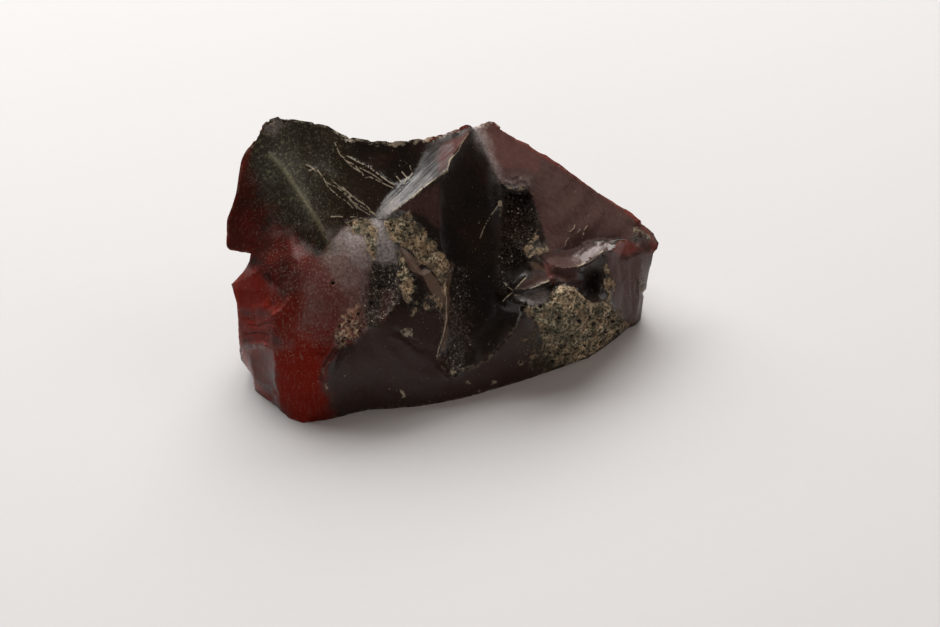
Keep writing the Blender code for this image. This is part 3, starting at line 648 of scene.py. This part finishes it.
flake = {  # the bright flake, and the fine hackles that run along it
    "foot": (374.0, 219.0),
    "tip": (467.0, 130.0),
    "hackleWide": 3.2,  # cells
    "hackleLong": 40,
    "hackleHeight": 0.20,  # mm
}
flakeWay = np.array(flake["tip"]) - flake["foot"]
flakeWay /= np.linalg.norm(flakeWay)
acrossFlake = (cells - flake["foot"]) @ np.array((-flakeWay[1], flakeWay[0]))
alongFlake = (cells - flake["foot"]) @ flakeWay
hackle = np.array([
    noise.noise(Vector((across / flake["hackleWide"], along / flake["hackleLong"], 3)))
    for across, along in zip(acrossFlake, alongFlake)
])
relief += zones["silver"] * near * flake["hackleHeight"] * hackle

hair = {  # pale line along the fine ridges: crushed wear, and a painted highlight
    "soften": 0.4,  # cells added to each width
    "reach": 5,  # cells either side of the crest
    "onHackles": 0.97,
    "elsewhere": 0.83,
}
wingRib = {
    "line": [(270, 155), (283, 168), (293, 184), (303, 198), (318, 222), (330, 250), (336, 275)],
    "width": 1.9,  # cells
    "height": 0.12,  # mm
    "fades": (268, 185),  # cells down, from nothing to whole
}
hairlines = np.zeros(len(places))  # one on a fine ridge, nothing beyond its reach
for width, height, points in marks:
    gap = toLine(cells, points)
    relief += bell(gap, width + hair["soften"]) * near * height
    if height > 0:
        bright = hair["onHackles"] if (width, height, points) in hackles else hair["elsewhere"]
        hairlines = np.maximum(hairlines, (1 - gap / hair["reach"]) * bright * near)
# the rib's line also carries its painted highlight
rib = bell(toLine(cells, wingRib["line"]), wingRib["width"]) * near * ramp(*wingRib["fades"], cells[:, 1])
relief += wingRib["height"] * rib
print("ripples, hackles and", len(marks), "fine ridges laid")


# Crust: lumps and gas holes.

crust = {
    "lumpSize": 1.7,  # mm
    "lumpHeight": 0.50,
    "grainSize": 0.7,
    "grainHeight": 0.28,
    "setsIn": (0.3, 0.9),  # strength of the zone
    "pitShare": 0.8,
    "pepperGrain": 0.09,
    "pepperLumps": 0.08,
    "frostGrain": 0.02,
    "holes": 190,  # besides those placed one by one
    "holeSeed": 5,
    "holeDepth": 0.6,
    "holeSpread": 1.15,  # how far a placed hole reaches past its width
    "smallHoles": (0.16, 0.34),  # mm
    "smallDepth": 0.8,
}
lumps = fractal(places, crust["lumpSize"])
grain = fractal(places, crust["grainSize"], 2)
rough = np.clip(ramp(*crust["setsIn"], zones["rind"]) + crust["pitShare"] * zones["pit"], 0, 1)
relief += rough * (crust["lumpHeight"] * lumps + crust["grainHeight"] * grain)
relief += zones["peppered"] * (crust["pepperGrain"] * grain + crust["pepperLumps"] * lumps)
relief += zones["frost"] * crust["frostGrain"] * grain

hollow = np.zeros(len(places))
for across, down, width in holes:
    bowl = bell(toSpot(cells, across, down), width * crust["holeSpread"]) * near
    hollow = np.maximum(hollow, bowl)

clefts = [  # width in cells, how deep beside a gas hole, and the line
    (2.4, 0.60, [(335, 348), (329, 357), (324, 367), (321, 378)]),
    (1.5, 0.50, [(249, 325), (258, 326), (266, 323), (276, 325)]),
    (1.8, 0.55, [(246, 334), (258, 333), (268, 335)]),
    (1.6, 0.50, [(239, 347), (246, 349), (252, 347)]),
    (1.4, 0.45, [(396, 330), (405, 337), (414, 346), (420, 350)]),
]
for width, depth, line in clefts:
    hollow = np.maximum(hollow, depth * bell(toLine(cells, line), width) * near)

finder = finderOf(places)
chance = np.random.default_rng(crust["holeSeed"])
crusted = np.flatnonzero(zones["rind"] > 0.7)
for index in chance.choice(crusted, min(crust["holes"], len(crusted)), replace=False):
    width = chance.uniform(*crust["smallHoles"])
    for _, other, gap in finder.find_range(places[index], width * 2):
        hollow[other] = max(hollow[other], bell(gap, width) * crust["smallDepth"])
relief -= crust["holeDepth"] * hollow
print("crust laid,", len(holes) + crust["holes"], "gas holes")


# Worn edges: small chips out of the ridges that stand proud.

wear = {
    "reach": 0.7,  # mm either side of a ridge
    "turns": (18, 70),  # degrees, from a ridge left whole to one fully worn
    "chip": 0.10,  # mm, how deep
    "rimChip": 0.42,
    "chipSize": 2.5,
    "bites": (0.02, 0.30),  # how much of the edge is bitten
    "rim": [(250, 140), (266, 118), (300, 118), (336, 131), (345, 138), (400, 143), (440, 139), (470, 127),
            (500, 128)],
    "rimReach": 8,  # cells
}
edgeFinder = finderOf([place for place, turn in proudEdges])
edgeGap = np.zeros(len(places))
edgeTurn = np.zeros(len(places))
for index, place in enumerate(places):
    _, nearestEdge, edgeGap[index] = edgeFinder.find(place)
    edgeTurn[index] = proudEdges[nearestEdge][1]
proud = bell(edgeGap, wear["reach"]) * ramp(*wear["turns"], edgeTurn)
bites = ramp(*wear["bites"], fractal(places, wear["chipSize"], 4))
rimness = bell(toLine(cells, wear["rim"]), wear["rimReach"])
relief -= proud * bites * (wear["chip"] + (wear["rimChip"] - wear["chip"]) * rimness)
print("edges chipped from", len(proudEdges), "ridge points")

moved = places + normals * relief[:, None]
low, high = (np.array(corner) / mm for corner in cadBox)
movePoints(stone, np.clip(moved, low, high))

thinWidth = 2.2  # cells
thinLines = [  # thin edges, painted with the red glow of light through the glass
    [(264, 119), (250, 146), (240, 172), (232, 205), (226, 222), (226, 249), (248, 256)],
    [(428, 139), (452, 130), (468, 125)],
    [(496, 124), (530, 146), (575, 175), (620, 206), (641, 222), (655, 238)],
    [(236, 280), (237, 310), (240, 345), (252, 380), (272, 405)],
]
surface = {  # what the material is told at each point, from nothing to one
    **zones,
    "hollow": hollow,
    "low": ramp(0.10, -0.40, lumps + 0.5 * grain),  # dips between the lumps, darkened in the crust as painted shade
    "edge": proud,
    "hairline": hairlines,
    "rim": rimness * near,
    "thin": bell(toNearest(cells, thinLines), thinWidth) * near,
    "rib": rib,
    "across": 0.5 + acrossFlake / 200,
    "along": 0.5 + alongFlake / 400,
}
for name, values in surface.items():
    layer = stone.data.attributes.new(name, "FLOAT", "POINT")
    layer.data.foreach_set("value", np.clip(values, 0, 1))

makeActive(stone)
bpy.ops.object.shade_smooth_by_angle(angle=math.radians(stoneSkin["smoothAngle"]))
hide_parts("obsidian_chunk")
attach(stone, "root")
print("stone finished")


# Materials.

def newGroup(name, inputs, output):
    # each input has its label and what it starts at, a vector starts at nothing
    group = bpy.data.node_groups.new(name, "ShaderNodeTree")
    for label, value in inputs.items():
        kind = "NodeSocketVector" if value is None else "NodeSocketFloat"
        socket = group.interface.new_socket(label, in_out="INPUT", socket_type=kind)
        if value is not None:
            socket.default_value = value
    group.interface.new_socket(output, in_out="OUTPUT", socket_type="NodeSocketFloat")
    return group, group.nodes.new("NodeGroupInput"), group.nodes.new("NodeGroupOutput")


def feed(tree, socket, value):
    if isinstance(value, bpy.types.NodeSocket):
        tree.links.new(value, socket)
    else:
        socket.default_value = value


def addNode(tree, kind, fed=None, **settings):
    node = tree.nodes.new(kind)
    for name, value in settings.items():
        setattr(node, name, value)
    for name, value in (fed or {}).items():
        feed(tree, node.inputs[name], value)
    return node


def calc(tree, operation, *values, clamp=False):
    node = addNode(tree, "ShaderNodeMath", operation=operation, use_clamp=clamp)
    for socket, value in zip(node.inputs, values):
        feed(tree, socket, value)
    return node.outputs[0]


def times(tree, one, other, clamp=False):
    return calc(tree, "MULTIPLY", one, other, clamp=clamp)


def timesPlus(tree, value, slope, start, clamp=False):
    return calc(tree, "MULTIPLY_ADD", value, slope, start, clamp=clamp)


def largest(tree, result, *others):
    for other in others:
        result = calc(tree, "MAXIMUM", result, other)
    return result


def blendColour(tree, factor, under, over):
    node = addNode(tree, "ShaderNodeMix", {"Factor": factor, "A": under, "B": over}, data_type="RGBA")
    return node.outputs["Result"]


def blendValue(tree, factor, under, over):
    node = addNode(tree, "ShaderNodeMix", {"Factor": factor, "A": under, "B": over}, data_type="FLOAT")
    return node.outputs["Result"]


def noiseOf(tree, where, scale, detail=3.0, roughness=0.55, distortion=0.0):
    return addNode(tree, "ShaderNodeTexNoise", {
        "Vector": where, "Scale": scale, "Detail": detail, "Roughness": roughness, "Distortion": distortion,
    }).outputs["Fac"]


def between(tree, value, low, high, outLow=0.0, outHigh=1.0):
    return addNode(tree, "ShaderNodeMapRange", {
        "Value": value, "From Min": low, "From Max": high, "To Min": outLow, "To Max": outHigh,
    }, interpolation_type="SMOOTHSTEP").outputs[0]


def stretched(tree, where, scale):
    return addNode(tree, "ShaderNodeMapping", {"Vector": where, "Scale": scale}).outputs[0]


def attribute(tree, name):
    return addNode(tree, "ShaderNodeAttribute", attribute_name=name).outputs["Fac"]


def makeSpeckGroup():
    # scattered round specks of mixed sizes
    tree, given, result = newGroup("speckle", {"Vector": None, "Scale": 900.0, "Share": 0.2}, "Mask")
    spots = addNode(tree, "ShaderNodeTexVoronoi", {
        "Vector": given.outputs["Vector"], "Scale": given.outputs["Scale"],
    }, feature="F1")
    pick = addNode(tree, "ShaderNodeSeparateColor", {"Color": spots.outputs["Color"]})
    chosen = calc(tree, "LESS_THAN", pick.outputs[0], given.outputs["Share"])
    size = timesPlus(tree, pick.outputs[1], 0.28, 0.10)
    dot = times(tree, calc(tree, "SUBTRACT", size, spots.outputs["Distance"]), 8.0, clamp=True)
    feed(tree, result.inputs["Mask"], times(tree, dot, chosen))
    return tree


def makeMottleGroup():
    # slow uneven patches with fine grain over them
    tree, given, result = newGroup(
        "mottle", {"Vector": None, "Patch Scale": 60.0, "Grain Scale": 900.0, "Grain": 0.4}, "Value"
    )
    patches = noiseOf(tree, given.outputs["Vector"], given.outputs["Patch Scale"], 4, 0.5)
    fine = noiseOf(tree, given.outputs["Vector"], given.outputs["Grain Scale"], 3, 0.5)
    feed(tree, result.inputs["Value"], blendValue(tree, given.outputs["Grain"], patches, fine))
    return tree


speckleGroup = makeSpeckGroup()
mottleGroup = makeMottleGroup()


def specks(tree, where, scale, share):
    return addNode(tree, "ShaderNodeGroup", {
        "Vector": where, "Scale": scale, "Share": share,
    }, node_tree=speckleGroup).outputs[0]


def mottle(tree, where, patch, grain, amount):
    return addNode(tree, "ShaderNodeGroup", {
        "Vector": where, "Patch Scale": patch, "Grain Scale": grain, "Grain": amount,
    }, node_tree=mottleGroup).outputs[0]


def webOf(tree, where, scale):
    # how far each point is from a bent net of fibres
    bend = addNode(tree, "ShaderNodeTexNoise", {"Vector": where, "Scale": fineness["webBend"]})
    shift = addNode(tree, "ShaderNodeVectorMath", {"Scale": obsidian["webBend"]}, operation="SCALE")
    feed(tree, shift.inputs[0], bend.outputs["Color"])
    bent = addNode(tree, "ShaderNodeVectorMath", operation="ADD")
    feed(tree, bent.inputs[0], where)
    feed(tree, bent.inputs[1], shift.outputs[0])
    return addNode(tree, "ShaderNodeTexVoronoi", {
        "Vector": bent.outputs[0], "Scale": scale,
    }, feature="DISTANCE_TO_EDGE").outputs["Distance"]


obsidian = {
    "glass": (0.0060, 0.0030, 0.0018, 1),
    "glassBrown": (0.0185, 0.0090, 0.0050, 1),
    "plum": (0.055, 0.0195, 0.0150, 1),
    "plumPale": (0.150, 0.082, 0.075, 1),
    "ruddy": (0.145, 0.0075, 0.0022, 1),
    "redAndPaintedGlow": (0.170, 0.040, 0.032, 1),
    "moss": (0.022, 0.0170, 0.0080, 1),
    "mossPale": (0.150, 0.140, 0.078, 1),
    "leaf": (0.130, 0.082, 0.056, 1),
    "silver": (0.105, 0.105, 0.107, 1),
    "paleDustAndPaintedHighlight": (0.43, 0.385, 0.37, 1),
    "warmGlass": (0.029, 0.0110, 0.0068, 1),
    "dust": (0.46, 0.39, 0.32, 1),
    "mossDust": (0.34, 0.34, 0.20, 1),
    "chip": (0.58, 0.49, 0.35, 1),
    "rindTan": (0.42, 0.280, 0.155, 1),
    "rindGreen": (0.085, 0.088, 0.054, 1),
    "rindDark": (0.022, 0.017, 0.011, 1),
    "rindPale": (0.78, 0.63, 0.42, 1),
    "rindRed": (0.34, 0.080, 0.060, 1),
    "hole": (0.006, 0.0035, 0.0022, 1),
    "paintedEdgeGlow": (0.24, 0.016, 0.006, 1),
    "ior": 1.46,
    "glossBare": (0.10, 0.22),  # roughness, from patch to patch
    "glossMatt": 0.85,
    "glossDusty": 0.8,
    "bumpDepth": 0.0006,  # m
    "webBend": 0.0012,  # m, how far the fibres bend
}
fineness = {  # how fine each texture is, in features a metre
    "patches": 90, "patchGrain": 1400, "ragged": 420, "web": 620, "webBend": 500, "webGaps": 900,
    "striae": 1100, "ruddy": 190, "grit": 1700, "drift": 330, "fineSpecks": 3300, "coarseSpecks": 1400,
    "trails": 2300, "crustPatches": 420, "crustGrain": 1500, "crustPale": 260, "crustPits": 1900,
    "crustShade": 190, "crackle": 900, "waves": 240, "skinGrain": 2600,
}
mattness = {  # how matt each zone makes the glass
    "frost": 0.60, "pit": 1.0, "peppered": 0.25, "plum": 0.30, "satin": 0.30, "mattAndPaintedShade": 1.0, "paleDustAndPaintedHighlight": 0.5,
}


def makeObsidian():
    material = bpy.data.materials.new("obsidianGlass")
    material.use_nodes = True
    tree = material.node_tree
    glass = tree.nodes["Principled BSDF"]
    where = addNode(tree, "ShaderNodeTexCoord").outputs["Object"]
    zone = {name: attribute(tree, name) for name in surface}

    def texture(name, detail, roughness=0.55):
        return noiseOf(tree, where, fineness[name], detail, roughness)

    patches = mottle(tree, where, fineness["patches"], fineness["patchGrain"], 0.35)
    ragged = texture("ragged", 8, 0.72)  # breaks up the edge of each zone
    grit = texture("grit", 3, 0.75)
    fibre = between(tree, webOf(tree, where, fineness["web"]), 0.05, 0.0)
    fibre = times(tree, fibre, between(tree, texture("webGaps", 2), 0.46, 0.60))
    striae = noiseOf(tree, stretched(tree, where, (1, 1, 0.10)), fineness["striae"], 4, 0.6)
    flakeGrid = addNode(tree, "ShaderNodeCombineXYZ", {
        "X": times(tree, zone["across"], 90.0), "Y": times(tree, zone["along"], 9.0),
    })
    hairs = noiseOf(tree, flakeGrid.outputs[0], 1.0, 4, 0.65, 0.3)

    def roughened(value, pattern, spread):
        return timesPlus(tree, calc(tree, "SUBTRACT", pattern, 0.5), spread, value)

    def raggedZone(name, low, high, spread):
        return between(tree, roughened(zone[name], ragged, spread), low, high)

    # the colours of the glass itself, with painted sheen, highlights and glow laid over them
    colour = blendColour(tree, between(tree, patches, 0.4, 0.65), obsidian["glass"], obsidian["glassBrown"])
    colour = blendColour(tree, times(tree, zone["satin"], 0.8), colour, obsidian["warmGlass"])

    uneven = between(tree, patches, 0.3, 0.6, 0.7, 1.0)
    plumTone = blendColour(tree, between(tree, striae, 0.35, 0.68), obsidian["plum"], obsidian["plumPale"])
    plumTone = blendColour(tree, timesPlus(tree, zone["frost"], 0.6, 0.25), obsidian["plum"], plumTone)
    colour = blendColour(tree, times(tree, between(tree, zone["plum"], 0.1, 0.9), uneven), colour, plumTone)

    mossTone = blendColour(tree, between(tree, grit, 0.50, 0.70), obsidian["moss"], obsidian["mossPale"])
    colour = blendColour(tree, times(tree, zone["moss"], uneven), colour, mossTone)
    # painted highlight along the crest of the rib on the wing
    colour = blendColour(tree, times(tree, zone["rib"], 0.80), colour, obsidian["mossPale"])

    ruddyMask = between(tree, roughened(zone["ruddy"], texture("ruddy", 5, 0.6), 0.9), 0.05, 0.95)
    colour = blendColour(tree, ruddyMask, colour, obsidian["ruddy"])
    # the red zone paints the glow of light through thin glass
    for name in ("leaf", "redAndPaintedGlow"):
        colour = blendColour(tree, between(tree, zone[name], 0.1, 0.9), colour, obsidian[name])
    # painted sheen: a bright colour that stands in for the flake's highlights
    silverMask = times(tree, raggedZone("silver", 0.3, 0.7, 0.7), between(tree, hairs, 0.38, 0.62, 0.1, 1.0))
    colour = blendColour(tree, silverMask, colour, obsidian["silver"])
    # pale dust, and painted highlights on the flake's foot, the star and the slab's rim
    paleDustAndHighlightMask = times(tree, zone["paleDustAndPaintedHighlight"], between(tree, grit, 0.36, 0.62, 0.35, 1.0))
    colour = blendColour(tree, times(tree, paleDustAndHighlightMask, 0.70), colour, obsidian["paleDustAndPaintedHighlight"])

    # dust: fine specks everywhere, thick on the matt skin
    loose = largest(tree, zone["peppered"], times(tree, zone["pit"], 1.3))
    drift = between(tree, texture("drift", 3), 0.35, 0.65, 0.4, 1.4)
    fineShare = times(tree, timesPlus(tree, zone["frost"], 0.52, 0.06), drift)
    fine = specks(tree, where, fineness["fineSpecks"], fineShare)
    coarseShare = times(tree, timesPlus(tree, loose, 0.42, 0.016), drift)
    coarse = specks(tree, where, fineness["coarseSpecks"], coarseShare)
    for value, slope, start in ((loose, 0.45, 0.36), (ruddyMask, -0.5, 1.0), (zone["moss"], -0.4, 1.0)):
        coarse = times(tree, coarse, timesPlus(tree, value, slope, start))
    haze = times(tree, between(tree, grit, 0.52, 0.74), timesPlus(tree, zone["frost"], 0.20, 0.012))
    looseHaze = times(tree, between(tree, grit, 0.50, 0.66), times(tree, loose, 0.22))
    trails = noiseOf(tree, stretched(tree, where, (1, 1, 0.07)), fineness["trails"], 2, 0.5)  # upright lines
    trails = times(tree, between(tree, trails, 0.56, 0.70), timesPlus(tree, zone["frost"], 0.20, 0.015))
    hairy = timesPlus(tree, zone["peppered"], 0.22, timesPlus(tree, zone["rind"], 0.45, 0.02))
    hairy = timesPlus(tree, zone["pit"], 0.42, hairy)
    dust = largest(tree, times(tree, fine, 0.42), coarse, trails, haze, looseHaze, times(tree, fibre, hairy))
    # painted red glow of light through the thin edges
    paintedEdgeGlowMask = times(tree, zone["thin"], between(tree, ragged, 0.35, 0.6, 0.25, 0.8))
    colour = blendColour(tree, paintedEdgeGlowMask, colour, obsidian["paintedEdgeGlow"])
    dustTone = blendColour(tree, zone["moss"], obsidian["dust"], obsidian["mossDust"])
    colour = blendColour(tree, dust, colour, dustTone)

    # crust: tan over grey-green, with pale grains, and painted shade in its pits, its dips and scattered
    # patches
    crustGrain = texture("crustGrain", 4, 0.75)
    browner = timesPlus(tree, zone["moss"], -0.9, 1.0, clamp=True)
    tanShare = times(tree, between(tree, texture("crustPatches", 5, 0.65), 0.42, 0.60), browner)
    paleShare = between(tree, texture("crustPale", 3), 0.40, 0.58, 0.25, 1.0)
    paleShare = times(tree, paleShare, timesPlus(tree, browner, 0.7, 0.3))
    # painted shade in scattered patches and in the dips between the lumps
    shaded = between(tree, texture("crustShade", 5, 0.65), 0.38, 0.52, 0.45, 0.0)
    shaded = largest(tree, shaded, times(tree, zone["low"], 0.62))
    crustColour = obsidian["rindGreen"]
    for mask, tone in (
        (tanShare, "rindTan"),
        (zone["redAndPaintedGlow"], "rindRed"),
        (times(tree, between(tree, crustGrain, 0.50, 0.58), paleShare), "rindPale"),
        (times(tree, fibre, paleShare), "rindPale"),
        # painted shade in the pits of the crust
        (between(tree, crustGrain, 0.47, 0.38), "hole"),
        (specks(tree, where, fineness["crustPits"], 0.22), "hole"),
        (shaded, "rindDark"),
    ):
        crustColour = blendColour(tree, mask, crustColour, obsidian[tone])
    crustMask = raggedZone("rind", 0.42, 0.58, 2.4)
    crustMask = times(tree, crustMask, between(tree, zone["rind"], 0.1, 0.9, 0.3, 1.0))
    colour = blendColour(tree, crustMask, colour, crustColour)

    # worn ridges show a pale crushed line; the pale line along the fine ridges is also a painted highlight
    crackle = texture("crackle", 4, 0.7)
    edgeMask = times(tree, between(tree, zone["edge"], 0.35, 0.9), between(tree, crackle, 0.46, 0.62))
    edgeMask = times(tree, edgeMask, timesPlus(tree, zone["rim"], 0.60, 0.16))
    hairMask = between(tree, zone["hairline"], 0.80, 0.93)
    hairMask = times(tree, hairMask, between(tree, crackle, 0.34, 0.54, 0.30, 1.0))
    fleckMask = times(tree, raggedZone("fleck", 0.45, 0.65, 1.2), 0.6)
    chipMask = largest(tree, edgeMask, times(tree, hairMask, 0.60), fleckMask)
    colour = blendColour(tree, chipMask, colour, obsidian["chip"])
    # painted shade: gas holes and clefts darkened to near black
    colour = blendColour(tree, between(tree, zone["hollow"], 0.25, 0.75), colour, obsidian["hole"])
    feed(tree, glass.inputs["Base Color"], colour)

    matt = largest(tree, crustMask, times(tree, ruddyMask, 0.60))
    for name, share in mattness.items():
        matt = largest(tree, matt, times(tree, zone[name], share))
    gloss = between(tree, patches, 0.35, 0.65, *obsidian["glossBare"])
    roughness = blendValue(tree, matt, gloss, obsidian["glossMatt"])
    roughness = blendValue(tree, largest(tree, dust, chipMask), roughness, obsidian["glossDusty"])
    feed(tree, glass.inputs["Roughness"], roughness)

    # the red zones tint what they mirror; the zones of painted shade, and faintly the satin front, mirror
    # only the glass's own dark colour
    bare = calc(tree, "SUBTRACT", 1.0, largest(tree, dust, crustMask))
    tinted = largest(
        tree, times(tree, ruddyMask, 0.9), times(tree, zone["mattAndPaintedShade"], 0.8), times(tree, zone["satin"], 0.25)
    )
    feed(tree, glass.inputs["Metallic"], times(tree, tinted, bare))
    glass.inputs["IOR"].default_value = obsidian["ior"]

    # fine surface: faint waves and lines in the glass, grain in the crust
    height = times(tree, texture("waves", 2), 0.10)
    for pattern, share in (
        (striae, timesPlus(tree, zone["plum"], 0.02, 0.003)),
        (hairs, times(tree, zone["silver"], 0.42)),
        (texture("skinGrain", 4, 0.7), timesPlus(tree, matt, 0.12, 0.003)),
        (crustGrain, times(tree, crustMask, 0.55)),
    ):
        height = timesPlus(tree, pattern, share, height)
    bump = addNode(tree, "ShaderNodeBump", {
        "Strength": 1.0, "Distance": obsidian["bumpDepth"], "Height": height,
    })
    feed(tree, glass.inputs["Normal"], bump.outputs["Normal"])
    return material


stone.data.materials.append(makeObsidian())
print("obsidian material made")


# Floor, light and camera.

studio = {
    "floorSize": 6.0,  # m
    "floorTone": (0.56, 0.56, 0.57, 1),
    "floorToneTwo": (0.60, 0.60, 0.61, 1),
    "world": 0.12,
    "air": (1.0, 0.87, 0.79, 1),
    "floorMottle": (3, 400, 0.3),  # patches and grains a metre, and the share of the grain
    "floorGloss": 0.7,  # roughness
}


def makeFloor():
    bpy.ops.mesh.primitive_plane_add(size=studio["floorSize"], location=(0, 0, 0))
    floor = bpy.context.object
    floor.name = "studio_floor"
    material = bpy.data.materials.new("paleFloor")
    material.use_nodes = True
    tree = material.node_tree
    where = addNode(tree, "ShaderNodeTexCoord").outputs["Object"]
    patches = mottle(tree, where, *studio["floorMottle"])
    tone = blendColour(tree, patches, studio["floorTone"], studio["floorToneTwo"])
    feed(tree, tree.nodes["Principled BSDF"].inputs["Base Color"], tone)
    tree.nodes["Principled BSDF"].inputs["Roughness"].default_value = studio["floorGloss"]
    floor.data.materials.append(material)


softboxes = [  # degrees from straight behind towards the right, degrees up, and m
    {"name": "backWindow", "azimuth": -24, "elevation": 45, "away": 1.3, "wide": 2.05, "high": 0.78,
     "glow": 6.5, "colour": (1.0, 0.98, 0.95)},
    {"name": "rightCard", "azimuth": 84, "elevation": 44, "away": 0.9, "wide": 0.52, "high": 0.42,
     "glow": 1.4, "colour": (1.0, 0.80, 0.72)},
    {"name": "topCard", "azimuth": 0, "elevation": 68, "away": 0.9, "wide": 0.40, "high": 0.22,
     "glow": 5.0, "colour": (1.0, 0.97, 0.94)},
    {"name": "frontFill", "azimuth": 197, "elevation": 14, "away": 1.2, "wide": 0.90, "high": 0.40,
     "glow": 1.5, "colour": (1.0, 0.97, 0.94)},
]


def addSoftboxes():
    for box in softboxes:
        turn, lift = math.radians(box["azimuth"]), math.radians(box["elevation"])
        way = Vector((math.sin(turn) * math.cos(lift), math.cos(turn) * math.cos(lift), math.sin(lift)))
        bpy.ops.object.light_add(type="AREA", location=way * box["away"])
        lamp = bpy.context.object
        lamp.name = box["name"]
        lamp.data.shape = "RECTANGLE"
        lamp.data.size = box["wide"]
        lamp.data.size_y = box["high"]
        lamp.data.color = box["colour"]
        lamp.data.energy = box["glow"] * math.pi * box["wide"] * box["high"]
        lamp.rotation_euler = (-way).to_track_quat("-Z", "Y").to_euler()


def addCamera():
    bpy.ops.object.camera_add(location=sighting["eye"] * mm)
    camera = bpy.context.object
    camera.rotation_euler = sight.to_track_quat("-Z", "Y").to_euler()
    camera.data.lens = sighting["lens"]
    camera.data.sensor_width = sighting["sensor"]
    camera.data.clip_start = 0.01
    bpy.context.scene.camera = camera


makeFloor()
addSoftboxes()
addCamera()
world = bpy.data.worlds.new("studioAir")
world.use_nodes = True
world.node_tree.nodes["Background"].inputs["Color"].default_value = studio["air"]
world.node_tree.nodes["Background"].inputs["Strength"].default_value = studio["world"]
bpy.context.scene.world = world
bpy.context.scene.view_settings.view_transform = "Standard"
print("floor, light and camera set")
